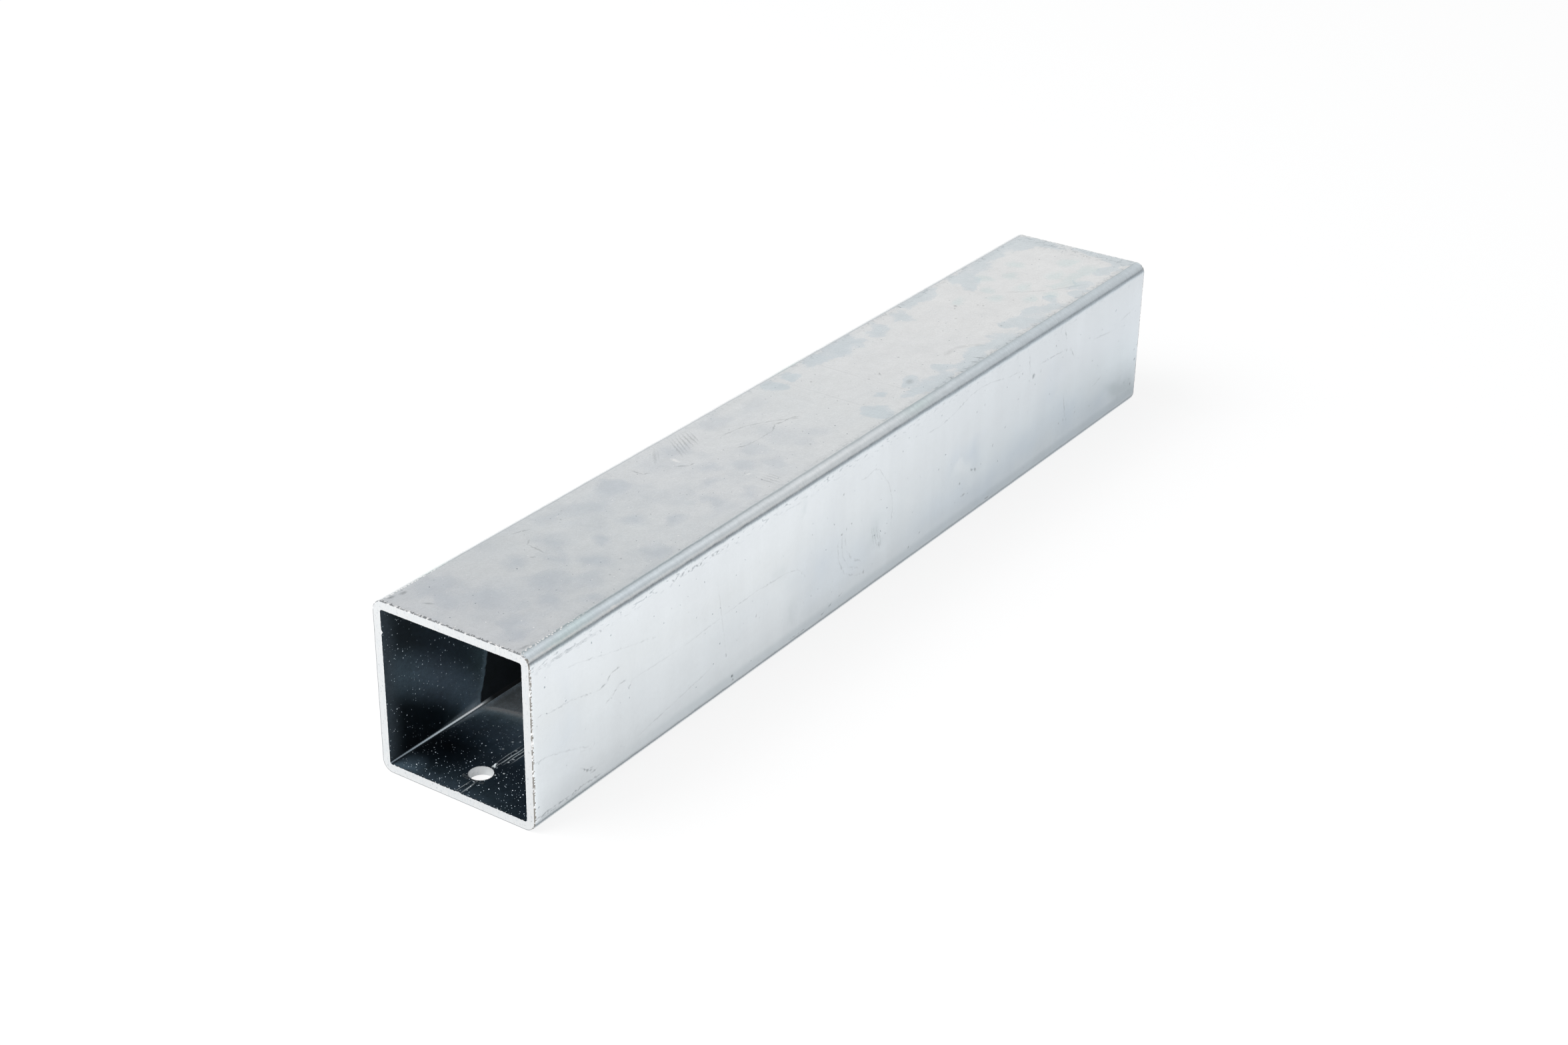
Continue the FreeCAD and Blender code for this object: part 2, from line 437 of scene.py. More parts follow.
def makeTopZinc():
    # Hot-dip galvanised steel, skin-passed: pale satin grey, clouded where the zinc has dulled
    material, tree, place = startMaterial("galvanisedTop")
    axes = addNode(tree, "SeparateXYZ", {0: place})
    along = axes.outputs["X"]
    fromNearEnd = addNode(tree, "Math", {0: along, 1: tubeLength / 2}, operation="ADD")
    ground = colourBy(tree, fromNearEnd, tubeLength, topZinc["alongColours"])
    # The zinc dulls in clouds that feather out unevenly, most of all on the near half
    moved = wobble(tree, place, *topZinc["drift"])
    fray = addNode(tree, "TexNoise", {"Vector": moved, "Scale": 1 / topZinc["frayGrain"], "Detail": 4.0,
                                      "Roughness": 0.6}, noise_dimensions="2D")
    loose = addNode(tree, "Math", {0: fray, 1: 0.9, 2: -0.42}, operation="MULTIPLY_ADD")
    broad = addNode(tree, "TexNoise", {"Vector": moved, "Scale": 1 / topZinc["broadGrain"], "Detail": 2.0},
                    noise_dimensions="2D")
    broad = addNode(tree, "MapRange", {0: broad, 1: 0.4, 2: 0.66, 3: 0.0, 4: 0.5})
    nearly = addNode(tree, "MapRange", {0: along, 1: 10.0, 2: -60.0, 3: 0.25, 4: 1.0})
    clouds = addNode(tree, "Math", {0: sumSpots(tree, moved, topZinc["clouds"]), 1: broad}, operation="ADD")
    clouds = addNode(tree, "Math", {0: loose, 1: 0.5, 2: clouds}, operation="MULTIPLY_ADD")
    clouds = addNode(tree, "MapRange", {0: clouds, 1: -0.1, 2: 1.25}, interpolation_type="SMOOTHSTEP")
    clouds = addNode(tree, "Math", {0: clouds, 1: nearly}, operation="MULTIPLY")
    # Patches of the far half, each crisp within a soft halo
    field = addNode(tree, "Math", {0: loose, 1: 0.9, 2: sumSpots(tree, moved, topZinc["patches"])},
                    operation="MULTIPLY_ADD")
    halo = addNode(tree, "MapRange", {0: field, 1: 0.05, 2: 0.75}, interpolation_type="SMOOTHSTEP")
    crisp = addNode(tree, "MapRange", {0: field, 1: 0.27, 2: 0.42, 3: 0.0, 4: 0.7},
                    interpolation_type="SMOOTHSTEP")
    teal = stains(tree, moved, topZinc["tealPatches"], 0.05, 0.8)
    # Grime caught in crumbs along both bends and at the far end
    fromMiddle = addNode(tree, "Math", {0: axes.outputs["Y"]}, operation="ABSOLUTE")
    edge = addNode(tree, "MapRange", {0: fromMiddle, 1: flatHalf - topZinc["grimeBreadth"], 2: flatHalf},
                   interpolation_type="SMOOTHSTEP")
    farEnd = addNode(tree, "MapRange", {0: along, 1: 150.0, 2: 158.5, 3: 0.0, 4: 1.0})
    edge = addNode(tree, "Math", {0: edge, 1: farEnd}, operation="MAXIMUM")
    crumbs = addNode(tree, "TexNoise", {"Vector": place, "Scale": 1 / topZinc["grimeGrain"], "Detail": 4.0,
                                        "Roughness": 0.65}, noise_dimensions="2D")
    crumbs = addNode(tree, "MapRange", {0: crumbs, 1: 0.52, 2: 0.68, 3: 0.2, 4: 1.0})
    dirt = addNode(tree, "Math", {0: edge, 1: crumbs}, operation="MULTIPLY")
    dirtier = addNode(tree, "MapRange", {0: along, 1: -70.0, 2: 110.0, 3: 0.4, 4: 1.5})
    dirt = addNode(tree, "Math", {0: dirt, 1: dirtier}, operation="MULTIPLY")
    # Scratches, pits and scuffs
    shaky = wobble(tree, place, topZinc["shake"])
    dark = sumSpots(tree, shaky, alongLines(topZinc["darkLines"]) + atDots(topZinc["darkDots"]))
    white = sumSpots(tree, shaky, alongLines(topZinc["whiteLines"]) + atDots(topZinc["whiteDots"]))
    colour = layFilms(tree, ground, [
        ("MULTIPLY", topZinc["cloudColour"], clouds), ("MULTIPLY", topZinc["patchHaloColour"], halo),
        ("MULTIPLY", topZinc["tealColour"], teal), ("MULTIPLY", topZinc["patchColour"], crisp),
        ("MULTIPLY", topZinc["grimeColour"], dirt), ("MULTIPLY", topZinc["scratchColour"], dark),
        ("MULTIPLY", topZinc["pitColour"], scatter(tree, shaky, *topZinc["pits"])),
        ("MIX", topZinc["scuffColour"], white),
        ("MIX", topZinc["glintColour"], scatter(tree, shaky, *topZinc["glints"])),
    ])
    dulled = addNode(tree, "Math", {0: clouds, 1: topZinc["dulling"], 2: topZinc["roughness"]},
                     operation="MULTIPLY_ADD")
    finishZinc(tree, place, mottle(tree, place, colour, topZinc["mottle"]), dulled)
    return material


sideZinc = {
    "roughness": 0.25,
    "drift": ((14.0, 1.8), (3.0, 0.3)),
    "shake": (1.1, 0.16),
    "mottle": [(11, 60, 0.014), (4.5, 34, 0.01), (16, 9, 0.012), (1.0, 1.2, 0.012), (0.4, 0.4, 0.015)],
    "skipGrain": 1.3,            # mm between the skips of a scratch
    "tickLength": 2.2,           # mm, the scuffs under the bend
    "tickBreadth": 0.8,
    "tickSlant": 0.12,           # radians
    "pits": (3.6, 0.04, 0.2),    # as scatter takes them
    "paleShare": 0.35,
    "blueColour": "#F5F8FC",
    "greyColour": "#EBEEEE",
    "footColour": "#F1F3F4",
    "tickColour": "#8D98A0",
    "scratchColour": "#525D66",
    "pitColour": "#C2C8CC",
    "paleColour": "#F3F7F9",
    # Colour by height on the near and on the far half, as z and colour. The far half is darker: painted
    # shade, the floor's shadow seen in the metal.
    "nearColours": ((3, "#EDF2F5"), (12, "#F3F8FB"), (20, "#EBF0F3"), (30, "#E8ECEE"), (45, "#E6EAED")),
    "farColours": ((3, "#D6DEE4"), (12, "#D4DDE3"), (20, "#D9E1E6"), (30, "#D7DDE2"), (45, "#D5DADE")),
    "blueClouds": [
        (-147, 24, 9, 30, 0, 0.5), (-34, 20, 22, 22, 0, 0.7), (-14, 12, 16, 10, 0, 0.5),
        (39, 25, 9, 11, 0, 0.6), (51, 24, 9, 9, 0, 0.9), (28, 10, 28, 10, 0, 0.6), (57, 9, 24, 9, 0, 0.8),
        (78, 15, 14, 13, 0, 0.6), (97, 25, 14, 15, 0, 0.6), (111, 14, 15, 11, 0, 0.8),
        (90, 12, 16, 9, 0, 0.5), (131, 9, 15, 8, 0, 0.6),
    ],
    "greyClouds": [
        (-44, 42, 3.5, 7, 0, 0.5), (-47, 12, 4, 9, 0, 0.5), (-7, 19, 6, 11, -28, 0.6),
        (-55, 25, 7, 5, 0, 0.4), (146, 10, 18, 5.5, -24, 0.8), (155, 5, 8, 4, -20, 0.35),
        (-2, 14, 3, 3, 0, 0.5),
    ],
    "paleClouds": [
        (-132, 15, 30, 17, 0, 1.2), (44, 20.5, 6, 4), (47, 13, 8, 4, 0, 0.4), (-60, 15, 26, 12),
        (-100, 20, 20, 14), (12, 22, 14, 12, 0, 0.6),
    ],
    "darkLines": [
        (0.4, 0.25, (-158, 32), (-156, 32.3), (-154, 31.4), (-146, 31), (-134, 28.4)),
        (0.45, 0.45, (-134, 28.4), (-131, 29), (-129, 31), (-125, 31.2)),
        (0.45, 0.4, (-132, 23), (-128.5, 24.5), (-126, 26.2), (-123, 26)),
        (0.4, 0.6, (-122.8, 24), (-122, 23.2), (-120.8, 24.8)),
        (0.4, 0.22, (-160, 20), (-154, 19.5), (-149, 18), (-143, 16), (-138, 14)),
        (0.5, 0.75, (-142, 9.9), (-141, 8.8), (-140, 8.2), (-138.6, 7.2), (-136.4, 6.4)),
        (0.35, 0.5, (-140.4, 7.4), (-138.8, 7.9), (-136.8, 7.6)),
        (0.35, 0.5, (-138.2, 6.1), (-135.2, 6.3)),
        (0.5, 0.5, (-160, 3.9), (-153, 4.1), (-147, 3.9), (-141, 4.2), (-134, 3.9)),
        (0.4, 0.4, (-158, 3.4), (-150, 3.5), (-143, 3.3)),
        (0.35, 0.25, (-142, 14.4), (-137, 13.2), (-136, 14.6)),
        (0.35, 0.18, (-146, 40.4), (-142, 40), (-130, 37), (-120, 34.8), (-113, 33.4)),
        (0.4, 0.2, (-120, 25), (-100, 24.3), (-80, 25.5), (-66, 26), (-52, 25.3), (-46, 24), (-42, 20)),
        (0.4, 0.18, (-118, 7.3), (-102, 9.7), (-87, 12)), (0.45, 0.8, (-66, 17.9), (-66, 19.2)),
        (0.4, 0.12, (-84, 38), (-80, 13)), (0.6, 0.5, (-50, 3.4), (-46, 3), (-42, 3.3)),
        (0.5, 0.5, (-34, 4), (-32, 4.5)), (0.5, 0.5, (-30, 5), (-28.4, 5.4)),
        (0.5, 0.45, (-25, 6), (-23, 6.4)),
        (0.5, 0.2, (-26, 24), (-25.5, 18), (-22, 12), (-16, 9), (-12, 8.2)),
        (0.5, 0.2, (-24, 25), (-23.4, 18.5), (-20, 13.5), (-14, 10.6)),
        (0.5, 0.2, (-22.2, 24), (-21.2, 19), (-18, 15), (-13, 12.4)),
        (0.5, 0.16, (-8.5, 21.5), (-6.5, 14.5)), (0.5, 0.2, (-7.2, 20.6), (-4.8, 13.2)),
        (0.5, 0.22, (-5.8, 21), (-3.6, 12.6)), (0.5, 0.16, (-4.2, 19), (-2.6, 13)),
        (0.9, 0.5, (-4.8, 15), (-3.6, 13.2)),
        (0.4, 0.2, (-15, 39), (-11, 38.5), (-8, 39.5), (-5, 38.5), (-2, 35), (1, 31), (3, 25), (2.5, 17)),
        (0.45, 0.2, (21, 40), (28, 39.5), (37, 40.7), (45, 43), (52, 43.5), (59, 43), (68, 41),
         (78, 40.3)),
        (0.7, 0.5, (48, 17.5), (50, 17), (52, 16)), (0.5, 0.45, (43, 10.6), (46, 10.4)),
        (0.6, 0.5, (58, 3.6), (61, 3.4)), (0.5, 0.4, (82, 44), (83, 37.5)),
        (0.5, 0.45, (105, 44.5), (106.5, 41)), (0.5, 0.4, (109.5, 37), (112.5, 33)),
        (0.5, 0.3, (89, 38.3), (107, 37.5)), (0.5, 0.25, (125, 34.5), (138, 33)),
        (0.5, 0.25, (145, 34.5), (154, 36)), (0.5, 0.3, (107, 21), (109, 13)),
        (0.5, 0.3, (128, 17), (134, 18.5)), (0.4, 0.3, (-160, 45.5), (-133.5, 45.2), (-132.4, 44.3)),
        (0.4, 0.3, (-158, 45), (-134, 44.7)),
        (0.5, 0.5, (-104, 46), (-102.6, 45.2), (-101.4, 46.2), (-100, 45.3), (-98.4, 46.1)),
        (0.5, 0.5, (-97, 45.6), (-95.6, 44.9), (-94, 46.1), (-92.2, 45), (-90, 46)),
        (0.5, 0.45, (-87, 46), (-85, 45.1), (-83.4, 46), (-81, 45.4)),
    ],
    "darkDots": [
        (0.45, 0.5, (-137.5, 38.7), (-112, 33)), (0.6, 0.8, (-80, 12.8)), (0.7, 0.8, (-77, 5)),
        (0.6, 0.7, (-77, 3.6)), (0.8, 0.55, (-12, 8.3)),
        (0.5, 0.5, (-24, 25.5), (-21.5, 26.3), (-19, 27), (-23.5, 38), (61.5, 20.7), (69, 24.2),
         (42, 15.2), (55, 36.7), (13, 5.8), (19, 8), (64, 2.8), (76, 38.5), (78, 39), (107, 37),
         (131.5, 35.7), (105, 12), (108, 12), (110, 11.5), (116, 12), (144.5, 27.5)),
        (0.5, 0.6, (-0.5, 16)), (1.2, 0.6, (85.5, 35.5)), (0.6, 0.5, (90, 35.7), (99.5, 41)),
        (0.6, 0.6, (157, 20), (158, 16.3), (156, 7.8)),
    ],
}


def makeSideZinc():
    # The same skin, brighter and bluer than the top, with handling scratches. Towards the far end it is
    # painted darker, as painted shade.
    material, tree, place = startMaterial("galvanisedSide")
    axes = addNode(tree, "SeparateXYZ", {0: place})
    along, height = axes.outputs["X"], axes.outputs["Y"]
    farther = addNode(tree, "MapRange", {0: along, 1: -60.0, 2: 150.0})
    ground = addNode(tree, "Mix", {
        0: farther, 6: colourBy(tree, height, outerWidth, sideZinc["nearColours"]),
        7: colourBy(tree, height, outerWidth, sideZinc["farColours"])}, data_type="RGBA").outputs[2]
    moved = wobble(tree, place, *sideZinc["drift"])
    blue = stains(tree, moved, sideZinc["blueClouds"], 0.0, 1.1)
    grey = stains(tree, moved, sideZinc["greyClouds"], 0.0, 1.0)
    pale = stains(tree, moved, sideZinc["paleClouds"], 0.05, 0.8)
    pale = addNode(tree, "Math", {0: pale, 1: sideZinc["paleShare"]}, operation="MULTIPLY")
    # Below about 6 mm the foot of the side is painted darker, away from the near end: painted shade, the
    # floor's shadow seen in the metal
    foot = addNode(tree, "MapRange", {0: height, 1: 6.8, 2: 4.4}, interpolation_type="SMOOTHSTEP")
    middle = addNode(tree, "MapRange", {0: along, 1: -138.0, 2: -88.0, 3: 0.0, 4: 1.0})
    foot = addNode(tree, "Math", {0: foot, 1: middle}, operation="MULTIPLY")
    # Scratches, which skip
    shaky = wobble(tree, place, sideZinc["shake"])
    dark = sumSpots(tree, shaky, alongLines(sideZinc["darkLines"]) + atDots(sideZinc["darkDots"]))
    skips = addNode(tree, "TexNoise", {"Vector": place, "Scale": 1 / sideZinc["skipGrain"], "Detail": 2.0},
                    noise_dimensions="2D")
    skips = addNode(tree, "MapRange", {0: skips, 1: 0.38, 2: 0.56, 3: 0.15, 4: 1.15})
    dark = addNode(tree, "Math", {0: dark, 1: skips}, operation="MULTIPLY")
    # Short scuffs under the bend, fewer towards the far end
    thin = addNode(tree, "Mapping", {
        "Vector": place, "Scale": (1 / sideZinc["tickLength"], 1 / sideZinc["tickBreadth"], 1),
        "Rotation": (0, 0, sideZinc["tickSlant"])})
    ticks = addNode(tree, "TexNoise", {"Vector": thin, "Scale": 1.0, "Detail": 1.0}, noise_dimensions="2D")
    ticks = addNode(tree, "MapRange", {0: ticks, 1: 0.6, 2: 0.72})
    high = addNode(tree, "MapRange", {0: height, 1: 43.6, 2: 46.2})
    near = addNode(tree, "MapRange", {0: along, 1: 60.0, 2: -30.0, 3: 0.12, 4: 0.4})
    ticks = addNode(tree, "Math", {0: ticks, 1: high}, operation="MULTIPLY")
    ticks = addNode(tree, "Math", {0: ticks, 1: near}, operation="MULTIPLY")
    colour = layFilms(tree, ground, [
        ("MULTIPLY", sideZinc["blueColour"], blue), ("MULTIPLY", sideZinc["greyColour"], grey),
        ("MULTIPLY", sideZinc["footColour"], foot), ("MULTIPLY", sideZinc["tickColour"], ticks),
        ("MULTIPLY", sideZinc["scratchColour"], dark),
        ("MULTIPLY", sideZinc["pitColour"], scatter(tree, shaky, *sideZinc["pits"])),
        ("MIX", sideZinc["paleColour"], pale),
    ])
    finishZinc(tree, place, mottle(tree, place, colour, sideZinc["mottle"]), sideZinc["roughness"])
    return material


bendZinc = {
    "roughness": 0.25,
    "drift": (5.0, 0.07),
    "shake": (0.7, 0.05),
    "mottle": [(7, 3, 0.03), (1.4, 1.6, 0.035), (0.6, 2.5, 0.03)],
    "speckSpacing": 0.9,         # mm
    "greenColour": "#F4FBF8",
    "brightColour": "#FFFFFF",
    # Colour by the way round the bend, from where it leaves the top: a painted reflection with a bright
    # band, a dark line of dirt in the upper crease and a painted dark line low down.
    "nearColours": (
        (0.0, "#D6DEE1"), (0.22, "#C4CED2"), (0.42, "#B0BABF"), (0.62, "#BCC6CB"), (0.85, "#D0D9DE"),
        (1.2, "#DCE6EC"), (1.7, "#E6EFF5"), (2.2, "#DAE3E9"), (2.6, "#D6DFE4"), (2.95, "#EAF1F5"),
        (3.25, "#F9FDFF"), (3.55, "#E8EEF2"), (3.8, "#B6BEC3"), (4.05, "#A0A8AE"), (4.3, "#A8B0B6"),
        (4.55, "#CDD4D8"), (4.8, "#DFE4E7"), (5.1, "#E2E7EA"),
    ),
    "farColours": (
        (0.0, "#B9C3C6"), (0.2, "#C8D2D6"), (0.5, "#D8E2E8"), (1.0, "#DEE8EE"), (1.6, "#E0E9EF"),
        (2.3, "#DFE8EE"), (2.8, "#E4EDF3"), (3.2, "#E6EFF6"), (3.5, "#DAE4EB"), (3.75, "#C6D0D7"),
        (4.0, "#B2BCC3"), (4.25, "#A7B1B8"), (4.45, "#B8C1C7"), (4.7, "#CAD2D8"), (5.1, "#D3DADF"),
    ),
    # The two corners away from the side: a paler painted reflection, with a painted highlight in the middle
    # and fainter dark lines
    "cleanColours": (
        (0.0, "#D3D8DB"), (0.35, "#C3C9CD"), (0.7, "#E2E6E8"), (1.1, "#F4F6F7"), (2.6, "#F2F4F5"),
        (3.7, "#E2E6E8"), (4.1, "#C4CACE"), (4.5, "#E0E4E6"), (5.1, "#E2E6E8"),
    ),
    # A pale band along the middle of the bend: painted highlight
    "paleMiddle": [(-30, 1.8, 90, 2.0, 0, 0.55)],
    "greenTints": [(-140, 1.5, 9, 3), (18, 1.5, 12, 2.5), (-148, 3, 8, 2)],
    "glints": [(-127, 3.2, 2.2, 0.5, 0, 1.0), (-129, 3.4, 1.0, 0.4, 0, 0.8), (-45, 2.9, 0.5, 0.5, 0, 0.8),
               (-152, 3.3, 3, 0.22, 0, 0.9), (-144, 3.25, 4, 0.2, 0, 0.9), (-137, 3.3, 3, 0.2, 0, 0.7)],
    # Where the saw broke the creases up, near the cut
    "broken": [(-152, 0.4, 22, 0.75), (-152, 3.3, 12, 0.5, 0, 0.5)],
}


def makeBendZinc(name, nearColours, farColours):
    # The skin over a formed corner. Its colour round the bend is a painted reflection: a bright band, dirt
    # in the upper crease and a painted dark line in the lower.
    material, tree, place = startMaterial(name)
    moved = wobble(tree, place, bendZinc["drift"])
    shaky = wobble(tree, moved, bendZinc["shake"])
    axes = addNode(tree, "SeparateXYZ", {0: shaky})
    turned = addNode(tree, "Math", {0: axes.outputs["Y"], 1: 0.0}, operation="MAXIMUM")
    farther = addNode(tree, "MapRange", {0: axes.outputs["X"], 1: -80.0, 2: 90.0})
    ground = addNode(tree, "Mix", {
        0: farther, 6: colourBy(tree, turned, bendLength, nearColours),
        7: colourBy(tree, turned, bendLength, farColours)}, data_type="RGBA").outputs[2]
    pale = sumSpots(tree, moved, bendZinc["paleMiddle"])
    green = sumSpots(tree, moved, bendZinc["greenTints"])
    glints = sumSpots(tree, shaky, bendZinc["glints"])
    # White specks where the creases are broken near the cut: bright zinc grains, their sparkle a painted
    # glint
    cells = addNode(tree, "TexVoronoi", {"Vector": place, "Scale": 1 / bendZinc["speckSpacing"]},
                    voronoi_dimensions="2D")
    specks = addNode(tree, "MapRange", {0: cells, 1: 0.36, 2: 0.26})
    crease = addNode(tree, "MapRange", {0: sumSpots(tree, place, bendZinc["broken"]), 1: 0.15, 2: 0.5})
    specks = addNode(tree, "Math", {0: specks, 1: crease}, operation="MULTIPLY")
    bright = addNode(tree, "Math", {0: glints, 1: specks}, operation="ADD", use_clamp=True)
    colour = layFilms(tree, ground, [
        ("MIX", bendZinc["brightColour"], pale), ("MULTIPLY", bendZinc["greenColour"], green),
        ("MIX", bendZinc["brightColour"], bright),
    ])
    finishZinc(tree, place, mottle(tree, place, colour, bendZinc["mottle"]), bendZinc["roughness"])
    return material


plainZinc = {
    "paleColour": "#E0E4E7",
    "dullColour": "#DADFE3",
    "rubColour": "#A9B3BA",
    "roughness": 0.27,
    "drift": (6.0, 1.0),
    "mottle": [(11, 8, 0.03), (3.2, 2.4, 0.025), (0.9, 0.8, 0.03)],
    "cloudGrain": 15,            # mm
    "rubLength": 60,
    "rubBreadth": 0.9,
    "rubSlant": 0.03,            # radians
}


def makePlainZinc():
    # The faces turned away: the same clouded skin, with a few long rubs
    material, tree, place = startMaterial("galvanisedPlain")
    moved = wobble(tree, place, plainZinc["drift"])
    cloud = addNode(tree, "TexNoise", {"Vector": moved, "Scale": 1 / plainZinc["cloudGrain"],
                                       "Detail": 3.0}, noise_dimensions="2D")
    clouds = addNode(tree, "MapRange", {0: cloud, 1: 0.42, 2: 0.66}, interpolation_type="SMOOTHSTEP")
    long = addNode(tree, "Mapping", {
        "Vector": moved, "Scale": (1 / plainZinc["rubLength"], 1 / plainZinc["rubBreadth"], 1),
        "Rotation": (0, 0, plainZinc["rubSlant"])})
    rubs = addNode(tree, "TexNoise", {"Vector": long, "Scale": 1.0, "Detail": 1.0}, noise_dimensions="2D")
    rubs = addNode(tree, "MapRange", {0: rubs, 1: 0.7, 2: 0.78, 3: 0.0, 4: 0.35})
    colour = layFilms(tree, linear(plainZinc["paleColour"]), [
        ("MIX", plainZinc["dullColour"], clouds), ("MULTIPLY", plainZinc["rubColour"], rubs),
    ])
    finishZinc(tree, place, mottle(tree, place, colour, plainZinc["mottle"]), plainZinc["roughness"])
    return material


cutSteel = {
    "colour": "#E7E8E8",
    "dullColour": "#E0E3E5",
    "pitColour": "#E4E6E8",
    "roughness": 0.42,
    "layLength": 10 / 3,          # mm, what a tooth of the saw leaves
    "laySpacing": 1 / 2.6,
    "laySlant": 0.5,              # radians
    "layRelief": 0.006,
    "pitSpacing": 1 / 1.4,
    # Grey of the torn zinc; on the left and bottom it is painted shade, an outline at the rim
    "lipColour": "#94979A",
    "sideLipColour": "#989590",   # where dirt stuck to it
    "lipGlint": "#FFFFFF",
    "lipRoughness": 0.32,
    "crumbSize": 1 / 0.9,         # mm
    "crumbRelief": 0.12,
    "lipReach": 1.5,              # mm of the outer edge that is torn, on the right side
    "topLipReach": 3.5,           # and on the top
}


def makeSawnSteel(name, metallic):
    # Bare mild steel, cut by a cold saw: bright and even, with a faint lay from the teeth
    material, tree = startMaterial(name)[:2]
    solid = addNode(tree, "TexCoord").outputs["Object"]
    broad, fine = (1 / (cutSteel[size] * mm) for size in ("layLength", "laySpacing"))
    lay = addNode(tree, "Mapping", {"Vector": solid, "Rotation": (cutSteel["laySlant"], 0, 0),
                                    "Scale": (broad, fine, broad)})
    teeth = addNode(tree, "TexNoise", {"Vector": lay, "Scale": 1.0, "Detail": 2.0})
    dull = addNode(tree, "MapRange", {0: teeth, 1: 0.4, 2: 0.7})
    pits = addNode(tree, "TexNoise", {"Vector": solid, "Scale": 1 / (cutSteel["pitSpacing"] * mm),
                                      "Detail": 2.0})
    pits = addNode(tree, "MapRange", {0: pits, 1: 0.6, 2: 0.72})
    colour = layFilms(tree, linear(cutSteel["colour"]), [
        ("MIX", cutSteel["dullColour"], dull), ("MULTIPLY", cutSteel["pitColour"], pits),
    ])
    bump = addNode(tree, "Bump", {"Height": teeth, "Strength": 1.0, "Distance": cutSteel["layRelief"] * mm})
    surface = addNode(tree, "BsdfPrincipled", {
        "Base Color": colour, "Metallic": metallic, "Roughness": cutSteel["roughness"], "Normal": bump})
    addNode(tree, "OutputMaterial", {"Surface": surface})
    return material


def makeRolledLip():
    # The zinc's torn edge at the cut: bright crumbs of metal among grey-brown grime. On the left and bottom
    # its plain grey is painted shade, an outline at the rim.
    material, tree = startMaterial("tornZincLip")[:2]
    solid = addNode(tree, "TexCoord").outputs["Object"]
    crumbs = addNode(tree, "TexNoise", {"Vector": solid, "Scale": 1 / (cutSteel["crumbSize"] * mm),
                                        "Detail": 5.0, "Roughness": 0.6})
    glint = addNode(tree, "MapRange", {0: crumbs, 1: 0.51, 2: 0.6})
    axes = addNode(tree, "SeparateXYZ", {0: solid})
    sideStart = (boxLow.y + cutSteel["lipReach"]) * mm
    topStart = (boxHigh.z - cutSteel["topLipReach"]) * mm
    onSide = addNode(tree, "Math", {0: axes.outputs["Y"], 1: sideStart}, operation="LESS_THAN")
    onTop = addNode(tree, "Math", {0: axes.outputs["Z"], 1: topStart}, operation="GREATER_THAN")
    rough = addNode(tree, "Math", {0: onSide, 1: onTop}, operation="MAXIMUM")
    glint = addNode(tree, "Math", {0: glint, 1: rough}, operation="MULTIPLY")
    colour = layFilms(tree, linear(cutSteel["lipColour"]), [
        ("MIX", cutSteel["sideLipColour"], onSide), ("MIX", cutSteel["lipGlint"], glint),
    ])
    bump = addNode(tree, "Bump", {"Height": crumbs, "Strength": rough,
                                  "Distance": cutSteel["crumbRelief"] * mm})
    surface = addNode(tree, "BsdfPrincipled", {
        "Base Color": colour, "Metallic": 1.0, "Roughness": cutSteel["lipRoughness"], "Normal": bump})
    addNode(tree, "OutputMaterial", {"Surface": surface})
    return material


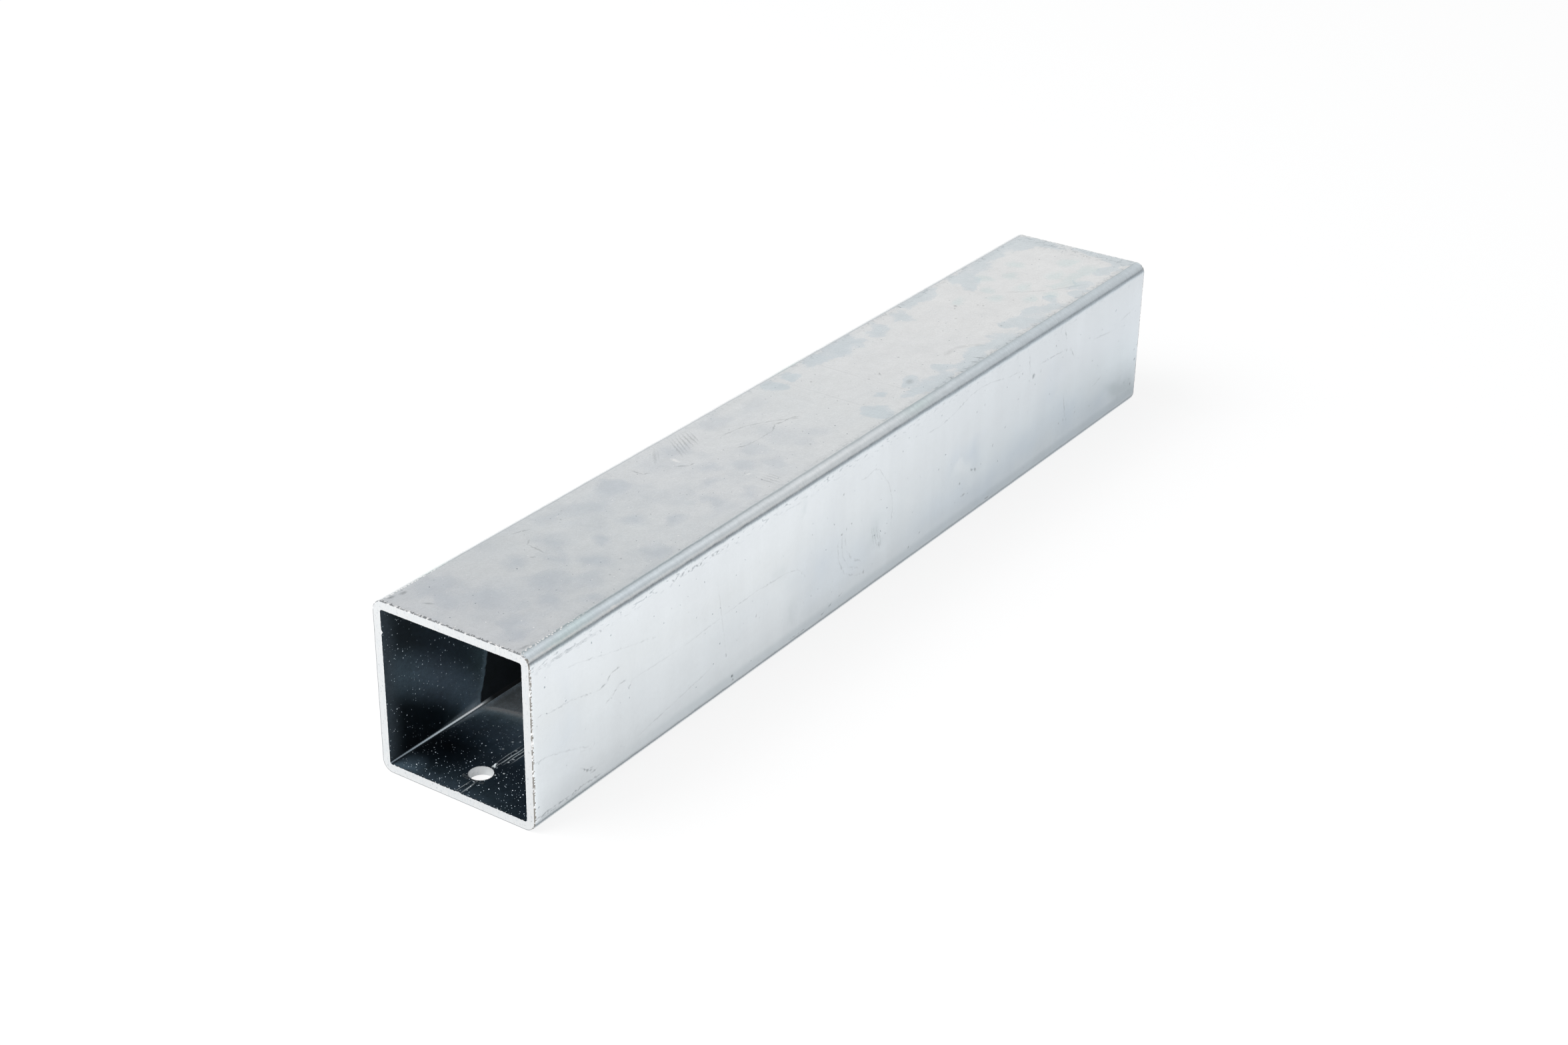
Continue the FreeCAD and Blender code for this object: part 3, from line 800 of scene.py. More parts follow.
# Inside, places are depth from the nearer open end, and then y on the floor or z on the wall, in mm.
inside = {
    "roughness": 0.42,
    "shine": 0.25,                # the oil film's gloss is thin
    "deepest": 60,                # mm, where the colours by depth end
    # Crumbs, as scatter takes them, and their colour
    "specks": ((1.7, 0.068, 0.34, "#E8F3FC"), (0.9, 0.085, 0.28, "#CFE0EC")),
    "wallSpecks": 0.55,           # how many the wall has, as a share of the floor's
    "speckLean": 1.5,             # how far a crumb turns to the daylight
    # Floor, by depth from the open end: the dark oil, painted lighter from about 22 mm as painted glow, a
    # white line of painted highlight at the oil's edge, and then bare steel
    "floorColours": (
        (0, "#2D373F"), (2, "#28323A"), (5, "#1A2329"), (10, "#151D24"), (18, "#192129"), (22, "#25313C"),
        (27, "#44525F"), (31, "#5A6A78"), (34, "#788C9A"), (36, "#AABCC7"), (37.5, "#F8FCFF"),
        (38.4, "#FFFFFF"), (39.0, "#C0C5C9"), (60, "#B2B7BB"),
    ),
    "floorBow": 0.012,            # how the far edge of the oil bows back from the middle
    "floorBowMiddle": 5.0,
    "floorShake": (3.0, 0.05),
    "floorMottle": [(5, 4, 0.12), (1.2, 1.0, 0.12), (0.4, 0.4, 0.15)],
    "thickOil": [(15, 16, 11, 9), (12, 10, 9, 7, 0, 0.5), (44, 24, 12, 7, 0, 0.8)],
    "thickOilColour": "#6E767E",
    # Painted glow: lighter patches in the dark film
    "thinOil": [(6, -8, 7, 8, 0, 0.05), (24, 2, 12, 8, 0, 0.2), (2, 20, 7, 7, 0, 0.9)],
    "thinOilColour": "#4A5A66",
    # Bright rubs beside the bead, with dark gaps between them, and chips of metal
    "rubs": [
        (0.3, 0.35, (0, 0.9), (5.8, 0.6)), (0.3, 0.4, (0, -0.9), (6, -0.8)),
        (0.3, 0.7, (16, 0.9), (26, 0.9)), (0.3, 0.9, (15, -0.3), (28, -0.6)),
        (0.3, 0.8, (17, -1.1), (30, -1.2)), (0.3, 0.6, (18, -2.3), (28, -2.3)),
        (0.6, 1.4, (13.8, 0.7), (15.6, 0.2)), (0.5, 1.2, (13.9, -0.3), (14.6, 0.4)),
    ],
    "chips": [
        (0.5, 0.9, (23, 0.4)), (0.5, 0.6, (26, 4)), (0.45, 0.6, (22, 3.8)),
        (0.35, 0.9, (13.3, -3.8), (11.5, -2.4), (18, -1.4), (19.7, -1.5), (27.1, 2.4)),
    ],
    "rubColour": "#E4ECEF",
    "gaps": [
        (0.6, 0.8, (0, 0.2), (5.6, 0.1)), (0.5, 0.7, (0, -1.6), (6, -1.5)),
        (0.6, 0.8, (16, 0.4), (27, 0.3)), (0.5, 0.7, (17, -1.7), (29, -1.8)),
    ],
    "gapColour": "#5A5F64",
    # Wall, by depth: above the streak, in it, and below it, each painted lighter deeper in as painted glow.
    # The streak is painted sheen.
    "aboveStreak": ((0, "#20292F"), (10, "#222A30"), (20, "#2D3842"), (30, "#394650"), (35, "#54666F")),
    "streak": ((0, "#46555F"), (10, "#52636F"), (20, "#606F7E"), (30, "#768A9C"), (35, "#8496A6")),
    "belowStreak": ((0, "#10171D"), (10, "#10171D"), (20, "#151F27"), (26, "#35444F"), (31, "#7F99AF")),
    "streakLine": (28.5, -0.4, -0.008),   # its height at the mouth, and how that falls with depth
    "streakReach": 10.5,
    "veil": "#444E56",            # daylight on the film just inside the mouth
    "veilDepth": 6.5,             # mm
    "edgeStart": 33.8,            # mm deep at the floor, where the oil ends on the wall
    "edgeLean": 0.29,
    "edgeShake": (2.5, 0.2),
    "edgeGlow": "#93A9B8",
    # Painted shade: the bare steel past the oil, much darker on the wall than on the floor
    "bareWall": "#30353A",
    "wallMottle": [(5, 4, 0.1), (1.2, 1.0, 0.1), (0.4, 0.4, 0.15)],
    "cornerShine": "#E4F1FA",     # how the film glows beside the bright inner corner
    # The lower inner corners, by depth, painted lighter deeper in as painted glow: beside the bright line,
    # and the painted highlight of the line itself
    "cornerColours": ((0, "#2D3841"), (10, "#192229"), (18, "#1D262E"), (26, "#425160"), (33, "#7F94A4"),
                      (37, "#8E9498"), (40, "#3C3D3F")),
    "cornerLine": ((0, "#8894A0"), (8, "#A6B4BE"), (14, "#C8D6E0"), (24, "#E8F2F8"), (32, "#FFFFFF"),
                   (60, "#FFFFFF")),
    "cornerMiddle": 0.6,          # where the line runs, as a share of the way round
    "cornerRoughness": 0.35,
    "cornerLean": 0.9,            # how far the line turns to the daylight
    "dryColours": ((0, "#59646B"), (3, "#98A2A8"), (14, "#B9C1C5"), (60, "#C2C9CC")),
    "dryMottle": [(9, 5, 0.15), (1.2, 1.0, 0.12)],
}


def insidePlace(tree, place):
    # Depth from the nearer open end, and the place across
    axes = addNode(tree, "SeparateXYZ", {0: place})
    fromMiddle = addNode(tree, "Math", {0: axes.outputs["X"]}, operation="ABSOLUTE")
    depth = addNode(tree, "Math", {0: tubeLength / 2, 1: fromMiddle}, operation="SUBTRACT")
    return depth, axes.outputs["Y"], addNode(tree, "CombineXYZ", {0: depth, 1: axes.outputs["Y"]})


def leanOut(tree, place, lean):
    # Turns the surface by that much towards the nearer open end, for what stands up out of it
    way = addNode(tree, "Math", {0: addNode(tree, "SeparateXYZ", {0: place})}, operation="SIGN")
    tilt = addNode(tree, "CombineXYZ", {0: addNode(tree, "Math", {0: way, 1: lean}, operation="MULTIPLY")})
    flat = addNode(tree, "NewGeometry").outputs["Normal"]
    leaning = addNode(tree, "VectorMath", {0: flat, 1: tilt}, operation="ADD")
    return addNode(tree, "VectorMath", {0: leaning}, operation="NORMALIZE")


def finishInside(tree, place, colour, dusty=1.0, oiled=1.0):
    # Bright crumbs of zinc and saw dust stuck in the oil
    crumbs = 0.0
    for cell, reach, share, shine in inside["specks"]:
        mask = addNode(tree, "Math", {0: scatter(tree, place, cell, reach, share * dusty), 1: oiled},
                       operation="MULTIPLY")
        colour = layFilms(tree, colour, [("MIX", shine, mask)])
        crumbs = addNode(tree, "Math", {0: mask, 1: crumbs}, operation="MAXIMUM")
    lean = addNode(tree, "Math", {0: crumbs, 1: inside["speckLean"]}, operation="MULTIPLY")
    surface = addNode(tree, "BsdfPrincipled", {
        "Base Color": colour, "Metallic": 0.0, "Roughness": inside["roughness"],
        "Specular IOR Level": inside["shine"], "Normal": leanOut(tree, place, lean)})
    addNode(tree, "OutputMaterial", {"Surface": surface})


def distance(tree, value, line):
    # How far a place is from a line along the tube
    gap = addNode(tree, "Math", {0: value, 1: line}, operation="SUBTRACT")
    return addNode(tree, "Math", {0: gap}, operation="ABSOLUTE")


def fanOut(tree, depth, away, depths, reaches, heart):
    # A line that fades out to both sides. It broadens from one reach to the other between those depths.
    reach = addNode(tree, "MapRange", {0: depth, 1: depths[0], 2: depths[1], 3: reaches[0], 4: reaches[1]})
    share = addNode(tree, "Math", {0: away, 1: reach}, operation="DIVIDE")
    return addNode(tree, "MapRange", {0: share, 1: 1.0, 2: heart}, interpolation_type="SMOOTHSTEP")


def nearCorner(tree, depth, away):
    # A glow beside the inner corner, which comes up and fans out with depth
    glow = fanOut(tree, depth, away, (18.0, 33.0), (0.1, 2.6), 0.0)
    deep = addNode(tree, "MapRange", {0: depth, 1: 18.0, 2: 32.0, 3: 0.0, 4: 0.7})
    return addNode(tree, "Math", {0: glow, 1: deep}, operation="MULTIPLY")


def makeInsideFloor():
    # Oiled mill steel: blue-black near the mouth, with painted glow towards the oil's edge, bare and warm
    # grey past it
    material, tree, place = startMaterial("oiledFloor")
    depth, y, spot = insidePlace(tree, place)
    aside = addNode(tree, "Math", {0: y, 1: inside["floorBowMiddle"]}, operation="SUBTRACT")
    bow = addNode(tree, "Math", {0: aside, 1: aside}, operation="MULTIPLY")
    bowed = addNode(tree, "Math", {0: bow, 1: inside["floorBow"], 2: depth}, operation="MULTIPLY_ADD")
    ground = colourBy(tree, bowed, inside["deepest"], inside["floorColours"])
    shaky = wobble(tree, spot, inside["floorShake"])
    rubbed = sumSpots(tree, shaky, alongLines(inside["rubs"]) + atDots(inside["chips"]))
    colour = layFilms(tree, ground, [
        ("MULTIPLY", inside["thickOilColour"], sumSpots(tree, spot, inside["thickOil"])),
        ("MIX", inside["thinOilColour"], sumSpots(tree, spot, inside["thinOil"])),
        ("MULTIPLY", inside["gapColour"], sumSpots(tree, shaky, alongLines(inside["gaps"]))),
        ("MIX", inside["cornerShine"], nearCorner(tree, depth, distance(tree, y, flatHalf))),
        ("MIX", inside["rubColour"], rubbed),
    ])
    finishInside(tree, place, mottle(tree, spot, colour, inside["floorMottle"]))
    return material


def makeInsideWall():
    # Oiled mill steel: a streak of painted sheen runs down to the corner through the blue-black film. The
    # bare wall past the oil is painted dark, as painted shade.
    material, tree, place = startMaterial("oiledWall")
    depth, z, spot = insidePlace(tree, place)
    height, fall, bend = inside["streakLine"]
    curve = addNode(tree, "Math", {0: depth, 1: bend, 2: fall}, operation="MULTIPLY_ADD")
    middle = addNode(tree, "Math", {0: curve, 1: depth, 2: height}, operation="MULTIPLY_ADD")
    above = addNode(tree, "Math", {0: z, 1: middle}, operation="SUBTRACT")
    aside = addNode(tree, "Math", {0: above}, operation="ABSOLUTE")
    streak = addNode(tree, "MapRange", {0: aside, 1: inside["streakReach"], 2: 0.0},
                     interpolation_type="SMOOTHSTEP")
    higher = addNode(tree, "MapRange", {0: above, 1: -9.0, 2: 7.0}, interpolation_type="SMOOTHSTEP")
    veil = addNode(tree, "MapRange", {0: depth, 1: inside["veilDepth"], 2: 0.0, 3: 0.0, 4: 0.95},
                   interpolation_type="SMOOTHSTEP")
    edge = addNode(tree, "Math", {0: z, 1: inside["edgeLean"], 2: inside["edgeStart"]},
                   operation="MULTIPLY_ADD")
    crooked = addNode(tree, "SeparateXYZ", {0: wobble(tree, spot, inside["edgeShake"])})
    past = addNode(tree, "Math", {0: crooked, 1: edge}, operation="SUBTRACT")
    strip = addNode(tree, "MapRange", {0: past, 1: -2.6, 2: -0.5, 3: 0.0, 4: 0.7},
                    interpolation_type="SMOOTHSTEP")
    bare = addNode(tree, "MapRange", {0: past, 1: -0.4, 2: 0.3}, interpolation_type="SMOOTHSTEP")
    below, upper, sheenStreakColour = (
        colourBy(tree, depth, inside["deepest"], inside[colours]).outputs[0]
        for colours in ("belowStreak", "aboveStreak", "streak"))
    corner = nearCorner(tree, depth, distance(tree, z, wallThickness + innerOffset))
    colour = layFilms(tree, below, [
        ("MIX", upper, higher), ("MIX", sheenStreakColour, streak), ("MIX", inside["veil"], veil),
        ("MIX", inside["cornerShine"], corner), ("MIX", inside["edgeGlow"], strip),
        ("MIX", inside["bareWall"], bare),
    ])
    oiled = addNode(tree, "Math", {0: 1.0, 1: bare}, operation="SUBTRACT")
    finishInside(tree, place, mottle(tree, spot, colour, inside["wallMottle"]), inside["wallSpecks"], oiled)
    return material


def makeInsideDry():
    # The walls that the oil ran off kept the pale grey of the strip
    material, tree, place = startMaterial("dryInside")
    depth, spot = insidePlace(tree, place)[::2]
    colour = colourBy(tree, depth, inside["deepest"], inside["dryColours"])
    finishInside(tree, place, mottle(tree, spot, colour, inside["dryMottle"]))
    return material


def makeInsideBend():
    # Lower inner corners: a painted highlight runs as a bright line along the middle and broadens with
    # depth; the line is also metal turned to the daylight
    material, tree, place = startMaterial("brightInnerCorner")
    depth, turned = insidePlace(tree, place)[:2]
    ground = colourBy(tree, depth, inside["deepest"], inside["cornerColours"])
    away = distance(tree, turned, bendLength * inside["cornerMiddle"])
    line = fanOut(tree, depth, away, (0.0, 30.0), (1.3, 3.0), 0.1)
    ends = addNode(tree, "MapRange", {0: depth, 1: 39.0, 2: 35.0})
    line = addNode(tree, "Math", {0: line, 1: ends}, operation="MULTIPLY")
    bright = colourBy(tree, depth, inside["deepest"], inside["cornerLine"]).outputs[0]
    lean = addNode(tree, "Math", {0: line, 1: inside["cornerLean"]}, operation="MULTIPLY")
    surface = addNode(tree, "BsdfPrincipled", {
        "Base Color": layFilms(tree, ground, [("MIX", bright, line)]), "Metallic": line,
        "Roughness": inside["cornerRoughness"], "Normal": leanOut(tree, place, lean)})
    addNode(tree, "OutputMaterial", {"Surface": surface})
    return material


# Tube
tube = {
    "cornerRadius": 3.25,      # mm, outside
    "rollOverLength": 1.1,     # mm, where the skin turns down to the cut
    "rollOverDrop": 0.15,
    "bendSteps": 12,
    "flatStep": 1.8,           # mm between points across a flat
    "mouthStep": 0.9,          # mm between rings, from the near end to the hole
    "pastHoleStep": 1.1,       # from there to as deep as one sees
    "seenDepth": 50,
    "lengthStep": 2.7,         # and on from there
    "patchStep": 0.4,          # mm between rings beside the hole's patch
    "besideStep": 0.55,        # mm between points across the patch, off the bead
    "beadStep": 0.2,           # and on the bead
    "beadReach": 1.4,
    "endStep": 0.42,           # mm between points round the cut ends
    "endDepths": (0.0, 0.12, 0.28, 0.6),
    "lipBands": 2,             # how many of the stretches between those are torn zinc
    # Rows across the sawn ring, as a share of the wall from outside, and the saw's unevenness there in mm.
    # The first stretch is torn zinc.
    "ringRows": ((0.06, 0.0), (0.09, 0.0), (0.3, 0.01), (0.65, 0.01), (0.95, 0.0)),
    "waviness": 0.05,          # mm, how far the flats dip between the rolls
    "raggedEdge": 0.14,        # mm, bites out of the outer edge of the cut
    "burr": 0.13,              # mm, what the saw left standing on the inner edge
    "footBurr": 0.312,         # and on the lower wall's
    "spurRound": 161.8,        # mm round the skin to one long burr, on the left inner edge
    "spurReach": 0.55,
    "beadWidth": 2.1,          # mm, the weld inside
    "beadHeight": 0.25,
    "beadRestart": 4.85,       # mm from the hole's middle
    "chipHeight": 0.42,        # mm, the chip standing where it starts again
    "patchReach": 5.2,         # mm from the hole's middle to the edge of its patch
    "patchRings": 12,
    "tornRings": 5,            # how many of those the drill tore, on the near side
    "lipHeight": 0.12,         # mm, the rim that the drill pushed up
    "lipBreadth": 0.4,
    "boreRings": 8,
    "sharpAngle": 38,          # degrees, above which an edge shows as one
}

flatHalf = outerWidth / 2 - tube["cornerRadius"]
bendLength = math.pi / 2 * tube["cornerRadius"]
sideSpan = 2 * flatHalf + bendLength
lap = 4 * sideSpan                       # once round the skin, from the middle of the top towards -Y
innerOffset = tube["cornerRadius"] - wallThickness
# The flats and the bends between them, in their order round the skin
topFace, upperBend, rightFace, lowerBend, lowFace, leftLowerBend, leftFace, leftUpperBend = range(8)


def evenly(start, end, step):
    count = max(1, round(abs(end - start) / step))
    return [start + (end - start) * i / count for i in range(count + 1)]


def chain(*stretches):
    joined = []
    for stretch in stretches:
        joined += [value for value in stretch if not joined or abs(value - joined[-1]) > 1e-6]
    return joined


def roughly(*place):
    # Smooth noise from -1 to 1
    return noise.noise(Vector((*place, 0.0)[:3]))


def stationAt(w):
    # Across the tube, w mm round its skin: a point of the line that the bends turn about, and the way out.
    turn, along = divmod(w + flatHalf, sideSpan)
    out = ((0, 1), (-1, 0), (0, -1), (1, 0))[int(turn) % 4]
    ahead = (-out[1], out[0])
    if along <= 2 * flatHalf:
        core = [flatHalf * out[k] + (along - flatHalf) * ahead[k] for k in (0, 1)]
        return core, out
    angle = (along - 2 * flatHalf) / tube["cornerRadius"]
    core = [flatHalf * (out[k] + ahead[k]) for k in (0, 1)]
    return core, [out[k] * math.cos(angle) + ahead[k] * math.sin(angle) for k in (0, 1)]


def faceAt(w):
    turn, along = divmod(w + flatHalf, sideSpan)
    return int(turn) % 4 * 2 + (along > 2 * flatHalf)


def across(w, face):
    # The number that places a mark on a face: y on the top and bottom, z on the sides,
    # and on a bend the mm from the top or bottom.
    if face == topFace and w > lap / 2:
        w -= lap
    along = w + flatHalf - face // 2 * sideSpan
    if face % 2:
        turned = along - 2 * flatHalf
        return turned if face in (upperBend, leftLowerBend) else bendLength - turned
    middle = along - flatHalf
    return {topFace: -middle, rightFace: outerWidth / 2 - middle,
            lowFace: middle, leftFace: outerWidth / 2 + middle}[face]


class Skin:
    # The tube's one closed mesh as it grows, with the stations round it that its rows share
    def __init__(self):
        self.points = []
        self.strip = []         # along the tube and round its skin, for each point
        self.faces = []
        self.sides = []
        self.finishes = []
        self.coarse = roundStations()
        self.fine, self.fineMarks = [self.coarse[0]], [0]
        for w, following in zip(self.coarse, self.coarse[1:]):
            count = math.ceil((following - w) / tube["endStep"])
            self.fine += [w + (following - w) * n / count for n in range(1, count + 1)]
            self.fineMarks.append(len(self.fine) - 1)
        self.coarseMarks = list(range(len(self.coarse)))

    def addPoint(self, x, y, z, w):
        self.points.append((x * mm, y * mm, z * mm))
        self.strip.append((x, w))
        return len(self.points) - 1

    def addFace(self, corners, side, finish):
        self.faces.append(tuple(corners))
        self.sides.append(side)
        self.finishes.append(finish)

    def addLoop(self, before, loop, finishes, inwards=False):
        # Faces between two closed rows of as many points, in the lower wall
        for a, finish in enumerate(finishes):
            b = (a + 1) % len(loop)
            corners = (before[b], before[a], loop[a], loop[b])
            if inwards:
                corners = (before[a], before[b], loop[b], loop[a])
            self.addFace(corners, lowFace, finish)

    def addRow(self, x, stations, offsetAt):
        # A closed row of points round the tube
        row = []
        for w in stations[:-1]:
            (coreY, coreZ), (wayY, wayZ) = stationAt(w)
            offset = offsetAt(x, w)
            row.append(self.addPoint(x, coreY + wayY * offset, outerWidth / 2 + coreZ + wayZ * offset, w))
        return row + row[:1]

    def addBand(self, lowRow, highRow, marks, finishOf, inwards=False, leaveOut=()):
        # Faces between two rows. Marks say where each row has the points that both share.
        lowMarks, highMarks = marks
        for j, (w, following) in enumerate(zip(self.coarse, self.coarse[1:])):
            if j in leaveOut:
                continue
            side = faceAt((w + following) / 2)
            a = lowRow[lowMarks[j]:lowMarks[j + 1] + 1]
            b = highRow[highMarks[j]:highMarks[j + 1] + 1]
            pairs = [(a, b)]
            if len(a) == len(b):
                pairs = [(a[n:n + 2], b[n:n + 2]) for n in range(len(a) - 1)]
            for one, two in pairs:
                corners = one + two[::-1]
                finish = finishOf(side, self.strip[one[0]][1])
                self.addFace(corners[::-1] if inwards else corners, side, finish)


def endDepth(x):
    return min(x - boxLow.x, boxHigh.x - x)


def outerOffset(x, w):
    depth = endDepth(x)
    roll = tube["rollOverDrop"] * max(0, 1 - depth / tube["rollOverLength"]) ** 2
    bites = max(0, roughly(w / 0.55, x)) * 0.7 + max(0, roughly(w / 0.21, x + 9)) * 0.3
    rougher = {rightFace: 2.2, upperBend: 1.5, topFace: 1.0}.get(faceAt(w), 0.25)
    ragged = tube["raggedEdge"] * rougher * bites * max(0, 1 - depth / 0.5)
    dip = tube["waviness"] * (0.5 + 0.5 * roughly(x / 45, w / 26)) * min(1, depth / 12)
    return tube["cornerRadius"] - roll - ragged - dip


def beadHeight(x, y):
    # The weld bead, which breaks off at the hole and starts again with a chip standing up
    start = holeX + tube["beadRestart"]
    arch = tube["beadHeight"] * max(0, 1 - (2 * y / tube["beadWidth"]) ** 2)
    arch *= 1 + 0.35 * roughly(x / 6, y / 0.5)
    chip = tube["chipHeight"] * max(0, 1 - abs(x - start - 0.2) / 1.2) * max(0, 1 - abs(y - 0.3) / 0.85)
    if x < holeX:
        return arch
    return arch * min(1, max(0, (x - start) / 0.5 + 0.5)) + chip


def innerOffsetAt(x, w):
    depth = endDepth(x)
    face = faceAt(w)
    lumpy = max(0, roughly(w / 0.5, x + 31) + 0.15) + 0.5 * max(0, roughly(w / 0.2, x + 7))
    burr = (tube["footBurr"] if face == lowFace else tube["burr"]) * lumpy
    burr += tube["spurReach"] * math.exp(-((w - tube["spurRound"]) / 0.35) ** 2)
    offset = innerOffset - burr * max(0, 1 - depth / 0.45)
    if face == lowFace:
        offset -= beadHeight(x, across(w, lowFace))
    return offset


def roundStations():
    # Points round the skin. They crowd where the bead and the hole are.
    patch, bead, beside = tube["patchReach"], tube["beadReach"], tube["besideStep"]
    low = chain(
        evenly(-flatHalf, holeY - patch, tube["flatStep"]),
        evenly(holeY - patch, -bead, beside),
        evenly(-bead, bead, tube["beadStep"]),
        evenly(bead, holeY + patch, beside),
        evenly(holeY + patch, flatHalf, tube["flatStep"]),
    )
    bendStep = bendLength / tube["bendSteps"]
    starts = [flatHalf + turn * sideSpan for turn in range(4)]
    bends = [evenly(start, start + bendLength, bendStep) for start in starts]
    flats = [evenly(bends[turn][-1], starts[turn + 1], tube["flatStep"]) for turn in range(3)]
    flats[1] = [lap / 2 + y for y in low]
    return chain(evenly(0, flatHalf, tube["flatStep"]), bends[0], flats[0], bends[1], flats[1],
                 bends[2], flats[2], bends[3], evenly(lap - flatHalf, lap, tube["flatStep"]))


def ringPlaces():
    # Where the rings of points lie along the tube, between its rolled-over ends
    low, high = boxLow.x, boxHigh.x
    roll, patch, seen = tube["rollOverLength"], tube["patchReach"], tube["seenDepth"]
    return chain(
        evenly(low + roll, holeX - patch, tube["mouthStep"]),
        evenly(holeX - patch, holeX + patch, tube["patchStep"]),
        evenly(holeX + patch, low + seen, tube["pastHoleStep"]),
        evenly(low + seen, high - roll, tube["lengthStep"]),
    )


# What each face of the mesh is finished with, by its side and the way round the skin
def outerFinish(side, w):
    return {topFace: "top", rightFace: "side", lowFace: "plain", leftFace: "plain",
            leftLowerBend: "cleanBend", leftUpperBend: "cleanBend"}.get(side, "bend")


def innerFinish(side, w):
    return {lowFace: "insideFloor", leftFace: "insideWall", leftUpperBend: "insideWall",
            lowerBend: "insideBend", leftLowerBend: "insideBend"}.get(side, "insideDry")


def sawnFinish(side, w):
    return "cut"


def tornFinish(side, w):
    return "lip"


def crumbFinish(side, w):
    crumb = side in (topFace, upperBend, rightFace) and roughly(w / 0.6, 8.0) > 0.0
    return "lip" if crumb else outerFinish(side, w)


def burrFinish(side, w):
    # Flakes of bright metal along the foot of the opening
    flake = side == lowFace and roughly(w / 0.45, 3.0) > 0.12
    return "cut" if flake else innerFinish(side, w)


def addWalls(skin, rings, outer, inner, columns):
    # The long walls, less the square round the hole
    marks = (skin.coarseMarks, skin.coarseMarks)
    for i in range(len(rings) - 1):
        besideHole = abs((rings[i] + rings[i + 1]) / 2 - holeX) < tube["patchReach"]
        leaveOut = set(columns[:-1]) if besideHole else ()
        skin.addBand(outer[i], outer[i + 1], marks, outerFinish, False, leaveOut)
        skin.addBand(inner[i], inner[i + 1], marks, innerFinish, True, leaveOut)


def addCutEnd(skin, end, way, outerRing, innerRing):
    # The rolled skin, the burr inside and the sawn ring between them
    depths = tube["endDepths"]
    torn = tube["lipBands"]
    crumbs = len(depths) - 1 - torn
    outerRows = [skin.addRow(end + way * depth, skin.fine, outerOffset) for depth in depths]
    innerRows = [skin.addRow(end + way * depth, skin.fine, innerOffsetAt) for depth in depths]
    marks = [skin.fineMarks] * len(depths) + [skin.coarseMarks]
    for rows, inwards, finishes in (
            (outerRows + [outerRing], False, [tornFinish] * torn + [crumbFinish] * crumbs + [outerFinish]),
            (innerRows + [innerRing], True, [burrFinish] * (torn + crumbs) + [innerFinish])):
        for n, finishOf in enumerate(finishes):
            low, high = (n, n + 1) if way == 1 else (n + 1, n)
            skin.addBand(rows[low], rows[high], (marks[low], marks[high]), finishOf, inwards)
    before, finishOf = outerRows[0], tornFinish
    for share, unevenness in tube["ringRows"]:
        row = []
        for w, outerPoint, innerPoint in zip(skin.fine[:-1], outerRows[0], innerRows[0]):
            place = Vector(skin.points[outerPoint]).lerp(Vector(skin.points[innerPoint]), share) / mm
            depth = unevenness * max(0, roughly(w / 0.7, share * 5, end))
            row.append(skin.addPoint(end + way * depth, place.y, place.z, w))
        row.append(row[0])
        skin.addBand(before, row, (skin.fineMarks, skin.fineMarks), finishOf, way == 1)
        before, finishOf = row, sawnFinish
    skin.addBand(before, innerRows[0], (skin.fineMarks, skin.fineMarks), sawnFinish, way == 1)


def patchFrame(rings, columns):
    # The square rim of the hole's patch, each point as its ring and its column
    patch = tube["patchReach"]
    first = min(i for i, x in enumerate(rings) if x > holeX - patch - 0.01)
    last = max(i for i, x in enumerate(rings) if x < holeX + patch + 0.01)
    return [
        *((first, j) for j in columns[:-1]), *((i, columns[-1]) for i in range(first, last)),
        *((last, j) for j in reversed(columns[1:])), *((i, columns[0]) for i in range(last, first, -1)),
    ]


def patchPoint(skin, away, share, within):
    # A point of the patch, that share of the way from its rim to the hole
    spot = away.lerp(away.normalized() * holeRadius, share)
    x, y = holeX + spot.x, holeY + spot.y
    rise = tube["cornerRadius"] - outerOffset(x, lap / 2 + y)
    if within:
        edge = max(0, 1 - (spot.length - holeRadius) / tube["lipBreadth"])
        torn = 0.45 + 0.55 * abs(roughly(spot.x / 0.45, spot.y / 0.45)) * 2
        rise = wallThickness + beadHeight(x, y) * (1 - edge) + tube["lipHeight"] * torn * edge ** 2
    return skin.addPoint(x, y, rise, lap / 2 + y)


def patchFinish(skin, point, a, ring, within):
    # Bright metal shows at the hole, and inside also where the drill tore the near side
    atEdge = ring == tube["patchRings"]
    if not within:
        return "cut" if atEdge else "plain"
    nearSide = skin.points[point][0] / mm < holeX - 0.8 * holeRadius
    tearing = ring > tube["patchRings"] - tube["tornRings"]
    torn = nearSide and tearing and roughly(a / 2.3, ring / 3, 2.0) > -0.1
    return "cut" if torn or atEdge and roughly(a / 3.1, 5.0) > -0.1 else "insideFloor"


def addPatch(skin, rings, columns, grid, within):
    # The lower wall round the hole, from its square rim inwards. Gives back the points at the hole.
    rim = patchFrame(rings, columns)
    before = [grid[i][j] for i, j in rim]
    aways = [Vector((rings[i] - holeX, skin.coarse[j] - lap / 2 - holeY)) for i, j in rim]
    for ring in range(1, tube["patchRings"] + 1):
        loop = [patchPoint(skin, away, ring / tube["patchRings"], within) for away in aways]
        finishes = [patchFinish(skin, point, a, ring, within) for a, point in enumerate(loop)]
        skin.addLoop(before, loop, finishes, within)
        before = loop
    return before


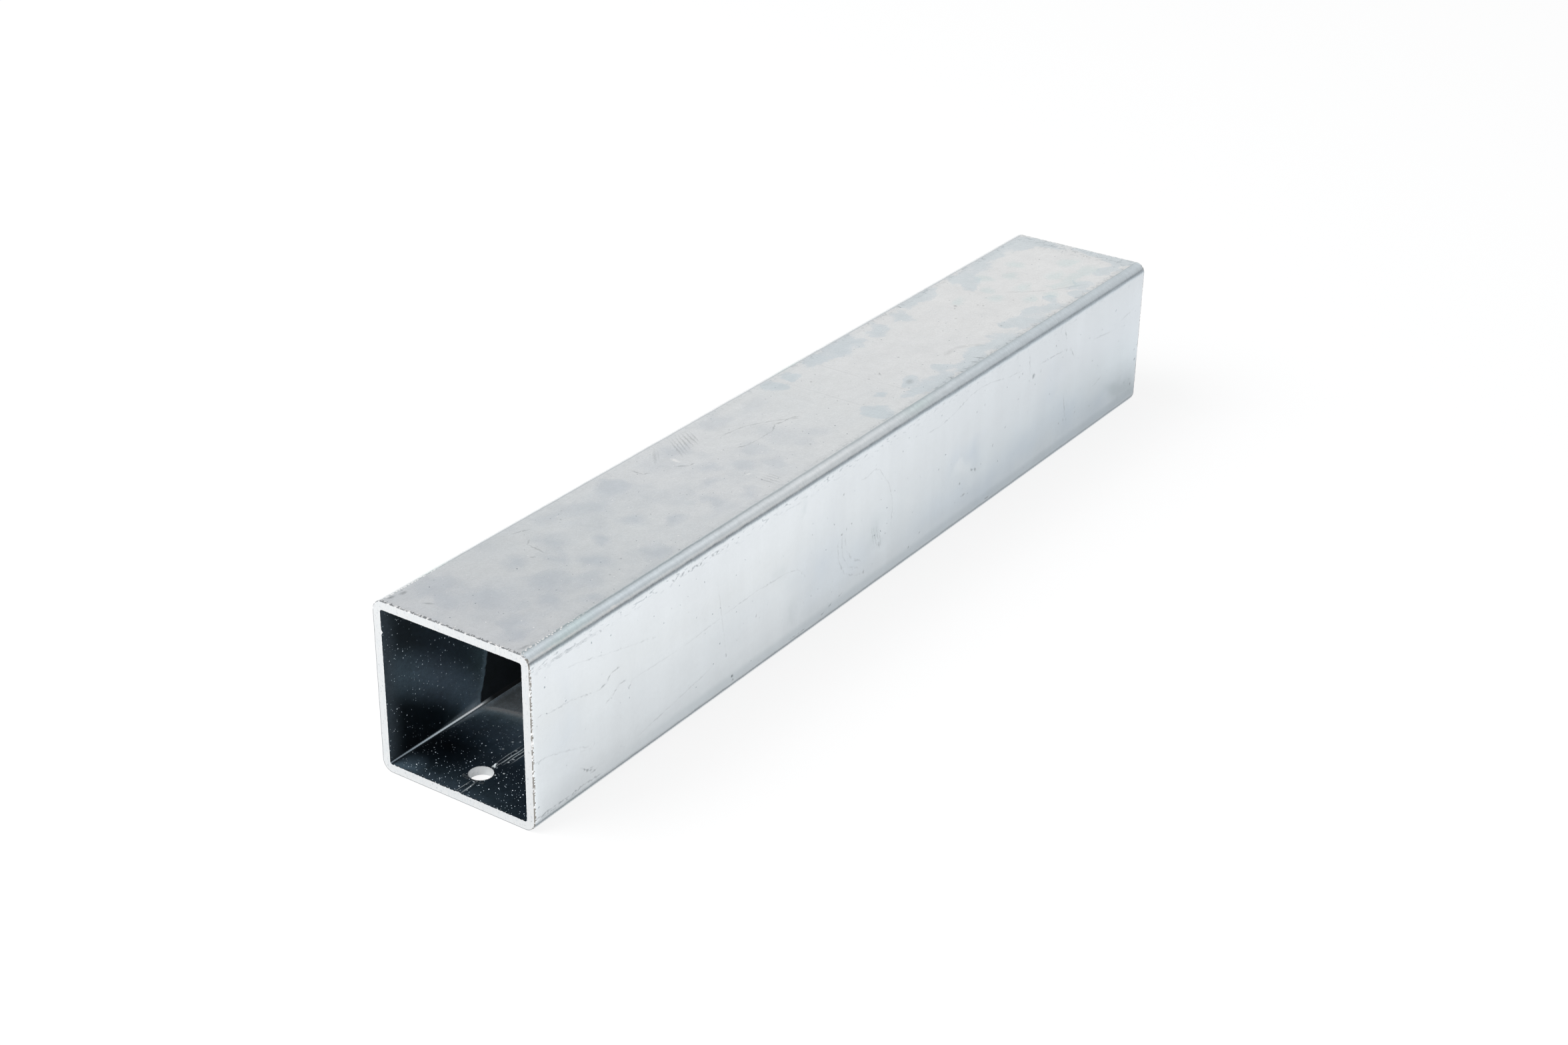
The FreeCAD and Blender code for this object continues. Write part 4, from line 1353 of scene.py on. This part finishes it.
def addBore(skin, upper, lower):
    # The drilled wall, smooth below and torn towards the lip
    before = upper
    for ring in range(1, tube["boreRings"] + 1):
        share = ring / tube["boreRings"]
        loop = lower
        if ring < tube["boreRings"]:
            loop = []
            for point in upper:
                top = Vector(skin.points[point]) / mm
                angle = math.atan2(top.y - holeY, top.x - holeX)
                tear = 0.1 * (0.4 + 0.6 * (1 - share)) * max(0, roughly(angle * 6, share * 7, 4))
                reach = holeRadius - tear
                spotX, spotY = holeX + reach * math.cos(angle), holeY + reach * math.sin(angle)
                loop.append(skin.addPoint(spotX, spotY, top.z * (1 - share), lap / 2 + spotY))
        skin.addLoop(before, loop, ["bore"] * len(loop), True)
        before = loop


def makeFinishes():
    finishes = {
        "top": makeTopZinc(),
        "side": makeSideZinc(),
        "bend": makeBendZinc("galvanisedBend", bendZinc["nearColours"], bendZinc["farColours"]),
        "cleanBend": makeBendZinc("galvanisedCleanBend", *[bendZinc["cleanColours"]] * 2),
        "plain": makePlainZinc(),
        "lip": makeRolledLip(),
        "cut": makeSawnSteel("sawnSteel", 1.0),
        "bore": makeSawnSteel("drilledSteel", 0.4),
        "insideFloor": makeInsideFloor(),
        "insideWall": makeInsideWall(),
        "insideDry": makeInsideDry(),
        "insideBend": makeInsideBend(),
    }
    print("finishes made:", len(finishes))
    return finishes


def makeTube():
    skin = Skin()
    rings = ringPlaces()
    outer = [skin.addRow(x, skin.coarse, outerOffset) for x in rings]
    inner = [skin.addRow(x, skin.coarse, innerOffsetAt) for x in rings]
    columns = [j for j, w in enumerate(skin.coarse) if abs(w - lap / 2 - holeY) < tube["patchReach"] + 0.01]
    addWalls(skin, rings, outer, inner, columns)
    addCutEnd(skin, boxLow.x, 1, outer[0], inner[0])
    addCutEnd(skin, boxHigh.x, -1, outer[-1], inner[-1])
    lowerRim = addPatch(skin, rings, columns, outer, False)
    upperRim = addPatch(skin, rings, columns, inner, True)
    addBore(skin, upperRim, lowerRim)

    mesh = bpy.data.meshes.new("galvanisedTube")
    mesh.from_pydata(skin.points, [], skin.faces)
    strip = mesh.uv_layers.new(name="strip")
    finishes = makeFinishes()
    order = list(finishes)
    for face, side, finish in zip(mesh.polygons, skin.sides, skin.finishes):
        face.material_index = order.index(finish)
        for corner in face.loop_indices:
            x, w = skin.strip[mesh.loops[corner].vertex_index]
            strip.data[corner].uv = (x, across(w, side))
    for material in finishes.values():
        mesh.materials.append(material)
    mesh.shade_smooth()
    mesh.set_sharp_from_angle(angle=math.radians(tube["sharpAngle"]))
    piece = bpy.data.objects.new("galvanisedTube", mesh)
    bpy.context.scene.collection.objects.link(piece)
    print("tube made:", len(mesh.vertices), "vertices,", len(mesh.polygons), "faces")
    return piece


tubePiece = makeTube()
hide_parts("tube")
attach(tubePiece, "root")
